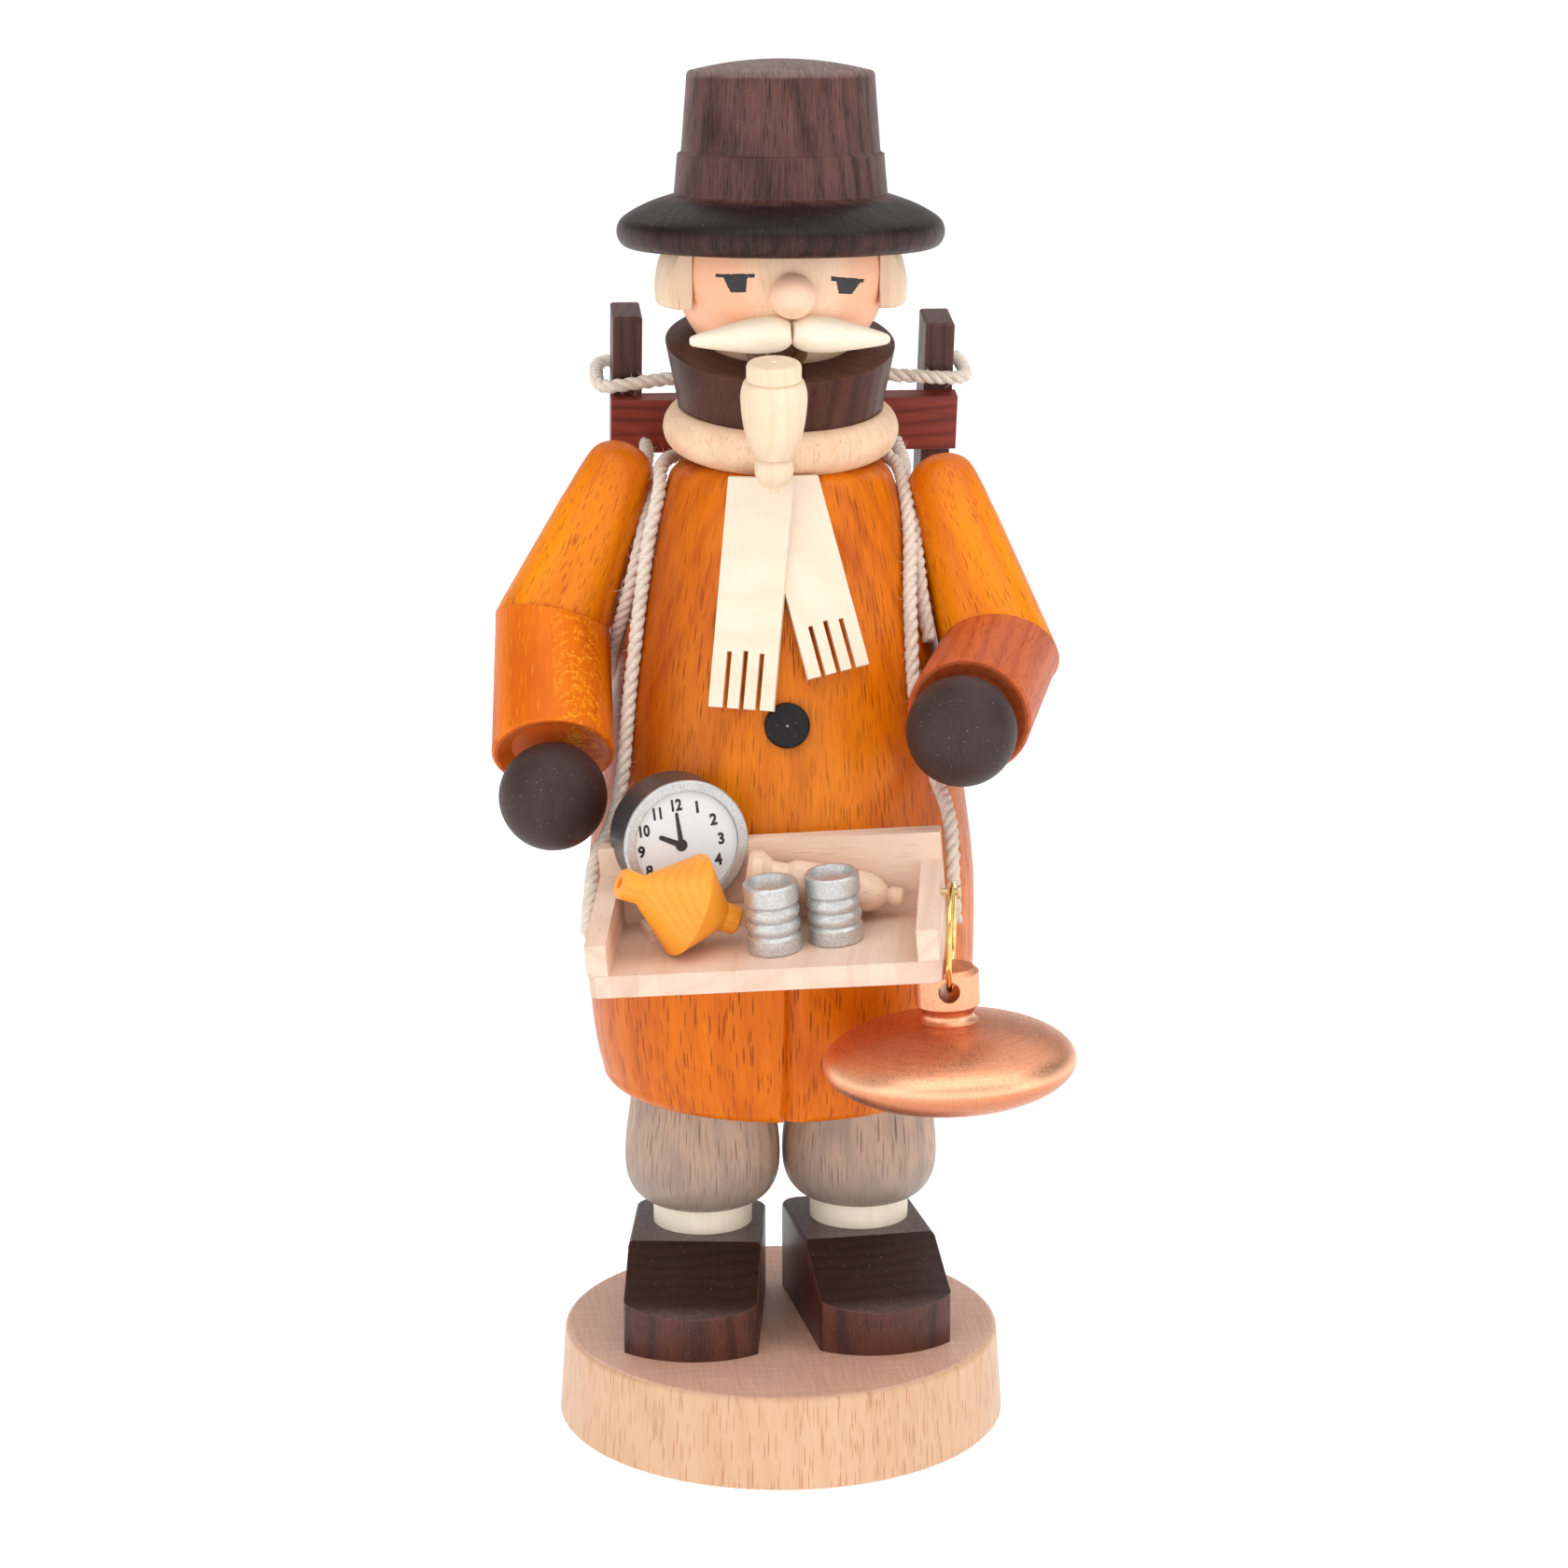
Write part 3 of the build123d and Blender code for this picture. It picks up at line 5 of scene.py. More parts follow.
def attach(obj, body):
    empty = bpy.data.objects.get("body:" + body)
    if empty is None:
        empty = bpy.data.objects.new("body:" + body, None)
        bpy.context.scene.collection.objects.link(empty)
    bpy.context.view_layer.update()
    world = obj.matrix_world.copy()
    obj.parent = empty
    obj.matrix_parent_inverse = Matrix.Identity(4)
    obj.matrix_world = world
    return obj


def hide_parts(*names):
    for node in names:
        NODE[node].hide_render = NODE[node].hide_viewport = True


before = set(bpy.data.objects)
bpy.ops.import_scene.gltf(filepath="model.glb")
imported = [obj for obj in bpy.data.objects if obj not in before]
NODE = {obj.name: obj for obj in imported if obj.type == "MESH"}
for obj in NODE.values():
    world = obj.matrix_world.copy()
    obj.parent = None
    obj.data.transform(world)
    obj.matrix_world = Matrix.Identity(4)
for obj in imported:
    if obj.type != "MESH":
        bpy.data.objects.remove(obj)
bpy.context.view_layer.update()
MM = 0.001
random.seed(4711)


def V(*c):
    return Vector(c)


# The places below are given about the figure's turning axis; the base's middle is at the origin.
FOOT = V(0.90, 8.67, -3.54)


# ------------------------------------------------------------------ camera

YAW = math.radians(6.0)
PITCH = math.radians(12.672)
cam_data = bpy.data.cameras.new("camera")
cam = bpy.data.objects.new("camera", cam_data)
bpy.context.scene.collection.objects.link(cam)
aim = V(math.sin(YAW) * math.cos(PITCH), math.cos(YAW) * math.cos(PITCH), -math.sin(PITCH))
cam.location = (V(-60.23, -577.98, 236.331) + FOOT) * MM
cam.rotation_mode = "QUATERNION"
cam.rotation_quaternion = aim.to_track_quat("-Z", "Y")
cam_data.sensor_fit = "AUTO"
cam_data.lens_unit = "FOV"
cam_data.angle = math.radians(23.855)
cam_data.clip_start = 0.01
cam_data.clip_end = 120.0
bpy.context.scene.camera = cam


# ------------------------------------------------------------------ shader helpers

class Graph:
    """A material's node tree, with short calls for the nodes used here."""

    def __init__(self, name):
        self.mat = bpy.data.materials.new(name)
        self.mat.use_nodes = True
        self.t = self.mat.node_tree
        self.t.nodes.clear()
        self.out = self.t.nodes.new("ShaderNodeOutputMaterial")
        self.bsdf = self.t.nodes.new("ShaderNodeBsdfPrincipled")
        self.t.links.new(self.bsdf.outputs["BSDF"], self.out.inputs["Surface"])
        self._p = None

    def put(self, socket, value):
        if isinstance(value, bpy.types.NodeSocket):
            self.t.links.new(value, socket)
        elif socket.type == "RGBA" and len(value) == 3:
            socket.default_value = (*value, 1.0)
        else:
            socket.default_value = value

    def set(self, **values):
        for name, value in values.items():
            self.put(self.bsdf.inputs[name.replace("_", " ")], value)

    def p(self):
        """Place on the object in millimetres, about the figure's axis."""
        if self._p is None:
            tc = self.t.nodes.new("ShaderNodeTexCoord")
            mm = self.vec("MULTIPLY", tc.outputs["Object"], (1000.0, 1000.0, 1000.0))
            self._p = self.vec("SUBTRACT", mm, tuple(FOOT))
        return self._p

    def math(self, op, a, b=None, c=None, clamp=False):
        n = self.t.nodes.new("ShaderNodeMath")
        n.operation = op
        n.use_clamp = clamp
        for i, v in enumerate((a, b, c)):
            if v is not None:
                self.put(n.inputs[i], v)
        return n.outputs[0]

    def vec(self, op, a, b=None):
        n = self.t.nodes.new("ShaderNodeVectorMath")
        n.operation = op
        self.put(n.inputs[0], a)
        if b is not None:
            self.put(n.inputs[1], b)
        return n.outputs["Value"] if op in ("LENGTH", "DOT_PRODUCT", "DISTANCE") else n.outputs["Vector"]

    def turn(self, v, axis, seed=0.0):
        """The same place with the grain axis laid along Z, moved by a seed."""
        n = self.t.nodes.new("ShaderNodeMapping")
        self.put(n.inputs["Vector"], v)
        e = Vector(axis).normalized().rotation_difference(V(0, 0, 1)).to_euler()
        n.inputs["Rotation"].default_value = e
        n.inputs["Location"].default_value = (seed * 37.1, seed * 17.7, seed * 53.3)
        return n.outputs["Vector"]

    def noise(self, v, detail=2.0, rough=0.5, scale=1.0, distort=0.0):
        n = self.t.nodes.new("ShaderNodeTexNoise")
        self.put(n.inputs["Vector"], v)
        n.inputs["Scale"].default_value = scale
        n.inputs["Detail"].default_value = detail
        n.inputs["Roughness"].default_value = rough
        n.inputs["Distortion"].default_value = distort
        return n.outputs["Fac"]

    def cells(self, v, scale=1.0, feature="F1", randomness=1.0):
        n = self.t.nodes.new("ShaderNodeTexVoronoi")
        n.feature = feature
        self.put(n.inputs["Vector"], v)
        n.inputs["Scale"].default_value = scale
        n.inputs["Randomness"].default_value = randomness
        return n.outputs["Distance"], n.outputs["Color"]

    def part(self, colour, index):
        n = self.t.nodes.new("ShaderNodeSeparateColor")
        self.put(n.inputs[0], colour)
        return n.outputs[index]

    def step(self, v, a, b, lo=0.0, hi=1.0):
        n = self.t.nodes.new("ShaderNodeMapRange")
        n.interpolation_type = "SMOOTHSTEP"
        self.put(n.inputs["Value"], v)
        n.inputs["From Min"].default_value = a
        n.inputs["From Max"].default_value = b
        n.inputs["To Min"].default_value = lo
        n.inputs["To Max"].default_value = hi
        return n.outputs["Result"]

    def lin(self, v, a, b, lo=0.0, hi=1.0):
        n = self.t.nodes.new("ShaderNodeMapRange")
        n.clamp = True
        self.put(n.inputs["Value"], v)
        n.inputs["From Min"].default_value = a
        n.inputs["From Max"].default_value = b
        n.inputs["To Min"].default_value = lo
        n.inputs["To Max"].default_value = hi
        return n.outputs["Result"]

    def mix(self, f, a, b, blend="MIX"):
        n = self.t.nodes.new("ShaderNodeMix")
        n.data_type = "RGBA"
        n.blend_type = blend
        n.clamp_factor = True
        self.put(n.inputs[0], f)
        self.put(n.inputs[6], a)
        self.put(n.inputs[7], b)
        return n.outputs[2]

    def soft_edge(self, radius_mm):
        n = self.t.nodes.new("ShaderNodeBevel")
        n.samples = 4
        n.inputs["Radius"].default_value = radius_mm * MM
        return n.outputs["Normal"]

    def edge(self, radius_mm):
        """1 along sharp edges, 0 on the faces."""
        g = self.t.nodes.new("ShaderNodeNewGeometry")
        d = self.vec("DOT_PRODUCT", self.soft_edge(radius_mm), g.outputs["Normal"])
        return self.step(d, 0.995, 0.80)

    def bump(self, height, strength, distance_mm, normal=None):
        n = self.t.nodes.new("ShaderNodeBump")
        n.inputs["Strength"].default_value = strength
        n.inputs["Distance"].default_value = distance_mm * MM
        self.put(n.inputs["Height"], height)
        if normal is not None:
            self.put(n.inputs["Normal"], normal)
        return n.outputs["Normal"]


def wood(name, light, dark, fleck, axis=(0, 0, 1), pith=(40.0, 25.0, 0.0), seed=0.0,
         ring=2.6, ring_amt=0.22, tone_amt=0.55, fibre_amt=0.35, fleck_amt=0.75,
         fleck_size=(0.55, 3.0), fleck_share=0.45, rough=(0.36, 0.50), coat=0.0,
         bump=0.30, soften=0.25, wear=0.0, wear_col=None, blotch=0.0, mask=None,
         dust=0.0, spec=0.5, shade=0.42, end=None, end_amt=0.0, turned=None):
    """Turned or sawn wood: growth rings about a pith line, long tone streaks, fibres, and short dark ray dashes along the grain."""
    g = Graph(name)
    p = g.p()
    q = g.turn(p, axis, seed)
    ax = Vector(axis).normalized()
    along = q
    if turned is not None:
        # a turned piece: unroll its surface, so that the dashes keep their length on a taper
        sep = g.t.nodes.new("ShaderNodeSeparateXYZ")
        g.put(sep.inputs[0], g.vec("SUBTRACT", p, (turned[0], turned[1], 0.0)))
        depth = g.math("MULTIPLY", sep.outputs[1], -1.0)
        away = g.math("SQRT", g.math("MULTIPLY_ADD", sep.outputs[0], sep.outputs[0], g.math("MULTIPLY", depth, depth)))
        comb = g.t.nodes.new("ShaderNodeCombineXYZ")
        g.put(comb.inputs[0], g.math("MULTIPLY_ADD", g.math("ARCTAN2", sep.outputs[0], depth), turned[2], 17.3 * seed))
        g.put(comb.inputs[1], g.math("MULTIPLY", away, 0.06))
        g.put(comb.inputs[2], sep.outputs[2])
        along = comb.outputs[0]
    warp = g.noise(g.vec("MULTIPLY", q, (0.07, 0.07, 0.02)), 2.0)
    dist = g.vec("LENGTH", g.vec("CROSS_PRODUCT", g.vec("SUBTRACT", p, pith), tuple(ax)))
    phase = g.math("MULTIPLY_ADD", dist, 2 * math.pi / ring, g.math("MULTIPLY", warp, 17.0))
    rings = g.math("POWER", g.math("MULTIPLY_ADD", g.math("SINE", phase), 0.5, 0.5), 2.5)
    tone = g.noise(g.vec("MULTIPLY", q, (0.17, 0.17, 0.022)), 4.0, 0.55)
    fibre = g.noise(g.vec("MULTIPLY", along, (4.2, 4.2, 0.17)), 3.0, 0.6)
    fine = g.noise(g.vec("MULTIPLY", q, (11.0, 11.0, 0.7)), 2.0, 0.6)
    f = g.math("MULTIPLY_ADD", g.math("SUBTRACT", tone, 0.5), 2.0 * tone_amt, shade)
    f = g.math("MULTIPLY_ADD", g.math("SUBTRACT", rings, 0.3), ring_amt, f)
    f = g.math("MULTIPLY_ADD", g.math("SUBTRACT", fibre, 0.5), 2.0 * fibre_amt, f)
    if blotch:
        spots = g.noise(g.vec("MULTIPLY", q, (0.33, 0.33, 0.16)), 3.0, 0.6, distort=0.6)
        f = g.math("MULTIPLY_ADD", g.math("SUBTRACT", spots, 0.5), 2.0 * blotch, f)
    f = g.math("MAXIMUM", g.math("MINIMUM", f, 1.0), 0.0)
    col = g.mix(f, light, dark)
    wob = g.noise(g.vec("MULTIPLY", q, (0.5, 0.5, 0.25)), 1.0)
    cell = g.vec("MULTIPLY", along, (1.35 / fleck_size[0], 1.35 / fleck_size[0], 0.50 / fleck_size[1]))
    d, c = g.cells(cell)
    dash = g.step(g.math("MULTIPLY_ADD", g.part(c, 2), -0.16, d), 0.30, 0.14)
    pick = g.step(g.math("ADD", g.part(c, 0), g.math("MULTIPLY", g.math("SUBTRACT", wob, 0.5), 0.9)),
                  1.0 - fleck_share, 1.0 - fleck_share + 0.12)
    dash = g.math("MULTIPLY", dash, pick)
    dash_col = g.math("MULTIPLY", dash, g.lin(g.part(c, 1), 0.0, 1.0, 0.28 * fleck_amt, 0.86 * fleck_amt))
    col = g.mix(dash_col, col, fleck)
    if end is not None:
        geo = g.t.nodes.new("ShaderNodeNewGeometry")
        across = g.math("ABSOLUTE", g.vec("DOT_PRODUCT", geo.outputs["Normal"], tuple(ax)))
        col = g.mix(g.math("MULTIPLY", g.step(across, 0.70, 0.94), end_amt), col, end)
    if mask is not None:
        col = mask(g, col)
    rgh = g.lin(g.math("MULTIPLY_ADD", dash, 0.35, fibre), 0.25, 0.85, rough[0], rough[1])
    if wear:
        wear_and_sheen_mask = g.math("MULTIPLY", g.edge(0.45), g.lin(fine, 0.35, 0.65, 0.35 * wear, wear))
        col = g.mix(wear_and_sheen_mask, col, wear_col)
    if dust:
        dd, dc = g.cells(g.vec("MULTIPLY", p, (1.9, 1.9, 1.9)))
        speck = g.math("MULTIPLY", g.step(dd, 0.13, 0.05), g.step(g.part(dc, 0), 0.72, 0.80))
        col = g.mix(g.math("MULTIPLY", speck, dust), col, (0.62, 0.55, 0.50))
    h = g.math("MULTIPLY_ADD", dash, -0.9, g.math("MULTIPLY_ADD", fibre, 0.55, g.math("MULTIPLY", fine, 0.45)))
    g.set(Base_Color=col, Roughness=rgh, Specular_IOR_Level=spec,
          Normal=g.bump(h, bump, 0.07, g.soft_edge(soften)))
    if coat:
        g.set(Coat_Weight=coat, Coat_Roughness=0.24)
    return g.mat


def paint(name, light, dark, rough=(0.35, 0.5), flake=0.0, flake_mm=0.16, metallic=0.0, bump=0.2,
          axis=None, soften=0.22, mask=None, peel=0.8, lines=0.0, dust=0.0, spec=0.5, uneven_amt=1.0):
    """Brushed or sprayed paint: orange peel, slight unevenness, and for metallic paint bright flakes."""
    g = Graph(name)
    p = g.p()
    uneven = g.noise(g.vec("MULTIPLY", p, (0.35, 0.35, 0.35)), 4.0, 0.6)
    grain = g.noise(g.vec("MULTIPLY", p, (peel, peel, peel)), 3.0, 0.6)
    f = g.math("MULTIPLY_ADD", g.math("SUBTRACT", uneven, 0.5), 1.1 * uneven_amt, 0.45)
    f = g.math("MULTIPLY_ADD", g.math("SUBTRACT", grain, 0.5), 0.8 * uneven_amt, f)
    h = grain
    if axis is not None and lines:
        q = g.turn(p, axis, 1.0)
        turned = g.noise(g.vec("MULTIPLY", q, (0.03, 0.03, 6.5)), 4.0, 0.65)
        f = g.math("MULTIPLY_ADD", g.math("SUBTRACT", turned, 0.5), 2.0 * lines, f)
        h = g.math("MULTIPLY_ADD", turned, lines * 1.5, h)
    f = g.math("MAXIMUM", g.math("MINIMUM", f, 1.0), 0.0)
    col = g.mix(f, light, dark)
    rgh = g.lin(grain, 0.3, 0.7, rough[0], rough[1])
    if flake:
        d, c = g.cells(g.vec("MULTIPLY", p, (1 / flake_mm,) * 3))
        r = g.part(c, 0)
        bright = g.lin(r, 0.0, 1.0, 1.0 - flake, 1.0 + flake)
        tint = g.t.nodes.new("ShaderNodeCombineColor")
        for i in range(3):
            g.put(tint.inputs[i], bright)
        col = g.mix(1.0, col, tint.outputs[0], "MULTIPLY")
        h = g.math("MULTIPLY_ADD", r, flake * 1.6, h)
        rgh = g.math("MULTIPLY_ADD", g.math("SUBTRACT", g.part(c, 1), 0.5), 0.22, rgh)
    if mask is not None:
        col = mask(g, col)
    if dust:
        dd, dc = g.cells(g.vec("MULTIPLY", p, (1.7, 1.7, 1.7)))
        speck = g.math("MULTIPLY", g.step(dd, 0.12, 0.05), g.step(g.part(dc, 0), 0.62, 0.72))
        col = g.mix(g.math("MULTIPLY", speck, dust), col, (0.60, 0.54, 0.50))
    g.set(Base_Color=col, Roughness=rgh, Metallic=metallic, Specular_IOR_Level=spec,
          Normal=g.bump(h, bump, 0.05, g.soft_edge(soften)))
    return g.mat


# ------------------------------------------------------------------ cords

ROUTES = {
    "tray_cord": [
        (-33.33, -39.68, 92.26), (-32.56, -33.87, 95.88), (-31.55, -26.37, 100.49), (-28.3, -19.6, 103.9),
        (-26.11, -15.07, 111.0), (-25.27, -12.6, 120.5), (-23.99, -10.68, 130.0), (-22.6, -8.0, 139.5),
        (-21.07, -5.45, 148.0), (-19.21, -3.04, 154.15), (-18.88, 1.65, 157.35), (-16.66, 9.24, 157.55),
        (-11.67, 14.93, 157.55), (-4.56, 18.29, 157.55), (3.27, 18.56, 157.55), (10.6, 15.71, 157.55),
        (16.16, 10.09, 157.55), (18.86, 2.65, 157.35), (19.05, -4.4, 154.15), (19.26, -10.46, 147.8),
        (18.48, -15.23, 140.0), (18.4, -18.4, 131.0), (18.68, -21.12, 121.0), (21.45, -21.82, 112.0),
        (22.45, -33.12, 108.07), (22.5, -35.72, 102.6), (22.57, -36.42, 96.69), (22.99, -36.25, 91.5)],
    "shoulder_strap_right": [
        (-19.9, 20.23, 158.27), (-19.9, 15.36, 157.15), (-20.9, 9.0, 156.0), (-19.64, 3.11, 153.2),
        (-21.78, -0.38, 147.2), (-23.45, -2.46, 140.8), (-25.39, -1.33, 133.4), (-26.82, 4.25, 126.2),
        (-26.46, 10.16, 121.0), (-24.49, 16.52, 118.4), (-20.83, 21.57, 119.2), (-16.9, 23.91, 122.79),
        (-16.9, 28.19, 123.78)],
    "shoulder_strap_left": [
        (20.9, 20.23, 158.27), (20.9, 15.36, 157.15), (20.9, 8.6, 156.2), (19.76, 1.38, 154.2),
        (20.11, -5.2, 151.0), (20.27, -9.67, 144.8), (20.86, -12.54, 137.6), (21.83, -13.96, 131.2)],
    "frame_cord": [
        (-22.7, 29.46, 169.43), (-22.8, 33.26, 170.31), (-26.9, 33.5, 170.16), (-27.5, 27.67, 168.71),
        (-27.3, 20.51, 167.27), (-22.5, 19.65, 167.89), (-14.3, 19.91, 168.98), (-2.3, 19.95, 169.7),
        (8.7, 19.95, 169.7), (19.7, 19.91, 168.98), (27.9, 19.54, 168.38), (32.7, 20.29, 168.24),
        (32.9, 27.45, 169.69), (32.3, 33.34, 170.84), (28.2, 33.17, 170.7), (28.1, 29.37, 169.82)],
}
CORD_D = 2.2
STRANDS = 3
LAY = 5.6          # length of one full turn of the twist, mm


def centreline(name, points):
    """Points read from the route's smooth spline, in millimetres."""
    c = bpy.data.curves.new(name + "_route", "CURVE")
    c.dimensions = "3D"
    c.resolution_u = 14
    s = c.splines.new("NURBS")
    s.points.add(len(points) - 1)
    for sp, co in zip(s.points, points):
        at = (V(*co) + FOOT) * MM
        sp.co = (at.x, at.y, at.z, 1.0)
    s.order_u = 3
    s.use_endpoint_u = True
    o = bpy.data.objects.new(name + "_route", c)
    bpy.context.scene.collection.objects.link(o)
    bpy.context.view_layer.update()
    dg = bpy.context.evaluated_depsgraph_get()
    me = bpy.data.meshes.new_from_object(o.evaluated_get(dg))
    line = [v.co.copy() * 1000.0 for v in me.vertices]
    bpy.data.meshes.remove(me)
    bpy.data.objects.remove(o)
    bpy.data.curves.remove(c)
    return line


def along_line(line, step):
    """Even steps along the centreline: places, directions and one side vector carried without twist."""
    cum = [0.0]
    for a, b in zip(line, line[1:]):
        cum.append(cum[-1] + (b - a).length)
    total = cum[-1]
    n = max(8, int(round(total / step)))
    pts, k = [], 0
    for i in range(n + 1):
        s = total * i / n
        while k < len(line) - 2 and cum[k + 1] < s:
            k += 1
        seg = cum[k + 1] - cum[k]
        pts.append(line[k].lerp(line[k + 1], 0.0 if seg == 0 else (s - cum[k]) / seg))
    tan = []
    for i in range(n + 1):
        a, b = pts[max(0, i - 1)], pts[min(n, i + 1)]
        tan.append((b - a).normalized())
    side = tan[0].orthogonal().normalized()
    sides = []
    for t in tan:
        side = (side - t * side.dot(t)).normalized()
        sides.append(side.copy())
    return pts, tan, sides, total


def tube_into(bm, centres, radii, ring_sides=8, uv=None, s_list=None, offset=0.0):
    """A closed tube of rings around the given centres."""
    n = len(centres)
    rings = []
    side = None
    for i in range(n):
        t = (centres[min(n - 1, i + 1)] - centres[max(0, i - 1)]).normalized()
        side = t.orthogonal().normalized() if side is None else (side - t * side.dot(t)).normalized()
        up = t.cross(side)
        rings.append([bm.verts.new((centres[i] + (side * math.cos(a) + up * math.sin(a)) * radii[i]) * MM)
                      for a in (2 * math.pi * j / ring_sides for j in range(ring_sides))])
    for i in range(n - 1):
        for j in range(ring_sides):
            k = (j + 1) % ring_sides
            f = bm.faces.new((rings[i][j], rings[i][k], rings[i + 1][k], rings[i + 1][j]))
            f.smooth = True
            if uv is not None:
                for loop, (ss, jj) in zip(f.loops, ((i, j), (i, j + 1), (i + 1, j + 1), (i + 1, j))):
                    loop[uv].uv = (s_list[ss] + offset, jj / ring_sides)
    bm.faces.new(list(reversed(rings[0])))
    bm.faces.new(rings[-1])


def hemp_material():
    g = Graph("hemp_twine")
    p = g.p()
    uv = g.t.nodes.new("ShaderNodeTexCoord").outputs["UV"]
    # yarn fibres run slantwise round each strand
    sep = g.t.nodes.new("ShaderNodeSeparateXYZ")
    g.put(sep.inputs[0], uv)
    slant = g.math("MULTIPLY_ADD", sep.outputs[1], 1.0, g.math("MULTIPLY", sep.outputs[0], -0.55))
    com = g.t.nodes.new("ShaderNodeCombineXYZ")
    g.put(com.inputs[0], g.math("MULTIPLY", slant, 11.0))
    g.put(com.inputs[1], g.math("MULTIPLY", sep.outputs[0], 0.7))
    fib = g.noise(com.outputs[0], 3.0, 0.65)
    big = g.noise(g.vec("MULTIPLY", p, (0.22, 0.22, 0.22)), 3.0, 0.6)
    fine = g.noise(g.vec("MULTIPLY", p, (5.0, 5.0, 5.0)), 2.0, 0.6)
    f = g.math("MULTIPLY_ADD", g.math("SUBTRACT", fib, 0.5), 1.9, 0.42)
    f = g.math("MULTIPLY_ADD", g.math("SUBTRACT", big, 0.5), 0.9, f)
    f = g.math("MULTIPLY_ADD", g.math("SUBTRACT", fine, 0.5), 0.5, f)
    f = g.math("MAXIMUM", g.math("MINIMUM", f, 1.0), 0.0)
    col = g.mix(f, (0.87, 0.77, 0.67), (0.56, 0.46, 0.37))
    h = g.math("MULTIPLY_ADD", fib, 0.8, g.math("MULTIPLY", fine, 0.2))
    g.set(Base_Color=col, Roughness=g.lin(fib, 0.3, 0.7, 0.75, 0.95), Specular_IOR_Level=0.25,
          Normal=g.bump(h, 0.7, 0.14))
    g.set(Sheen_Weight=0.25, Sheen_Roughness=0.5)
    return g.mat


def fluff_material():
    g = Graph("hemp_fluff")
    p = g.p()
    n = g.noise(g.vec("MULTIPLY", p, (0.8, 0.8, 0.8)), 2.0, 0.6)
    g.set(Base_Color=g.mix(n, (0.80, 0.73, 0.64), (0.58, 0.48, 0.38)), Roughness=g.lin(n, 0.3, 0.7, 0.7, 0.9))
    return g.mat


HEMP = hemp_material()
FLUFF = fluff_material()


def twine(name, points, seed, fluff_per_mm=3.0):
    rnd = random.Random(seed)
    line = centreline(name, points)
    pts, tan, sides, total = along_line(line, 0.38)
    n = len(pts)
    R = CORD_D / 2
    off, rs = R * 0.50, R * 0.545
    bm = bmesh.new()
    uv = bm.loops.layers.uv.new("along")
    s_list = [total * i / (n - 1) for i in range(n)]
    lay_wander = [LAY * (1.0 + 0.10 * math.sin(s * 0.31 + seed) + 0.06 * math.sin(s * 0.83 + 2 * seed)) for s in s_list]
    angle = [0.0]
    for i in range(1, n):
        angle.append(angle[-1] + 2 * math.pi * (s_list[i] - s_list[i - 1]) / lay_wander[i])
    surf = []
    for k in range(STRANDS):
        centres, radii = [], []
        ph = rnd.uniform(0, 6.28)
        for i in range(n):
            a = angle[i] + 2 * math.pi * k / STRANDS
            up = tan[i].cross(sides[i])
            w = 1.0 + 0.035 * math.sin(s_list[i] * 1.7 + ph) + 0.03 * math.sin(s_list[i] * 4.1 + 2.0 * ph)
            centres.append(pts[i] + (sides[i] * math.cos(a) + up * math.sin(a)) * off)
            radii.append(rs * w)
        tube_into(bm, centres, radii, 9, uv, s_list, 13.0 * k + seed)
        surf.append((centres, radii))
    bmesh.ops.recalc_face_normals(bm, faces=bm.faces)
    me = bpy.data.meshes.new(name + "_twine")
    bm.to_mesh(me)
    bm.free()
    o = bpy.data.objects.new(name + "_twine", me)
    bpy.context.scene.collection.objects.link(o)
    me.materials.append(HEMP)
    # loose fibres standing off the twist
    bm = bmesh.new()
    for _ in range(int(total * fluff_per_mm)):
        k = rnd.randrange(STRANDS)
        i = rnd.randrange(2, n - 2)
        centres, radii = surf[k]
        outward = (centres[i] - pts[i]).normalized()
        roll = rnd.uniform(-1.1, 1.1)
        outward = Matrix.Rotation(roll, 3, tan[i]) @ outward
        c = centres[i] + outward * radii[i] * 0.85
        d = (outward * rnd.uniform(0.25, 1.0) + tan[i] * rnd.uniform(-1.0, 1.0)
             + tan[i].cross(outward) * rnd.uniform(-0.8, 0.8)).normalized()
        length = rnd.uniform(0.45, 1.25) if rnd.random() < 0.86 else rnd.uniform(1.2, 2.1)
        curl = (tan[i] * rnd.uniform(-1, 1) + outward * rnd.uniform(-0.9, 0.3)) * 0.9
        path, pos = [], c
        for j in range(5):
            path.append(pos)
            pos = pos + d * (length / 4)
            d = (d + curl * 0.28).normalized()
        tube_into(bm, path, [0.034, 0.031, 0.027, 0.021, 0.012], 3)
    bmesh.ops.recalc_face_normals(bm, faces=bm.faces)
    fm = bpy.data.meshes.new(name + "_fluff")
    bm.to_mesh(fm)
    bm.free()
    fo = bpy.data.objects.new(name + "_fluff", fm)
    bpy.context.scene.collection.objects.link(fo)
    fm.materials.append(FLUFF)
    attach(o, "figure")
    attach(fo, "figure")
    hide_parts(name)
    return total


for i, (cord_name, route) in enumerate(ROUTES.items()):
    twine(cord_name, route, 11 + 7 * i)


# ------------------------------------------------------------------ finishes of the carried-over pieces

def dress(node, material):
    o = NODE[node]
    o.data.materials.clear()
    o.data.materials.append(material)
    for poly in o.data.polygons:
        poly.material_index = 0


Z = (0, 0, 1)
TEX = V(0.97912, -0.18973, 0.07303)
TEZ = V(-0.09129, -0.08983, 0.99176)
TEY = TEZ.cross(TEX)
TRAY_O = V(-3.97, -31.31, 93.10)


def tray_pt(x, y, z):
    return TRAY_O + TEX * x + TEY * y + TEZ * z


ARM = {
    "right": (V(-23.5, 3.6, 160.3), V(-36.1, 2.9, 131.9), V(-37.4, -21.4, 109.4)),
    "left": (V(24.05, -2.2, 158.6), V(33.1, -12.3, 128.3), V(22.95, -40.6, 122.3)),
}

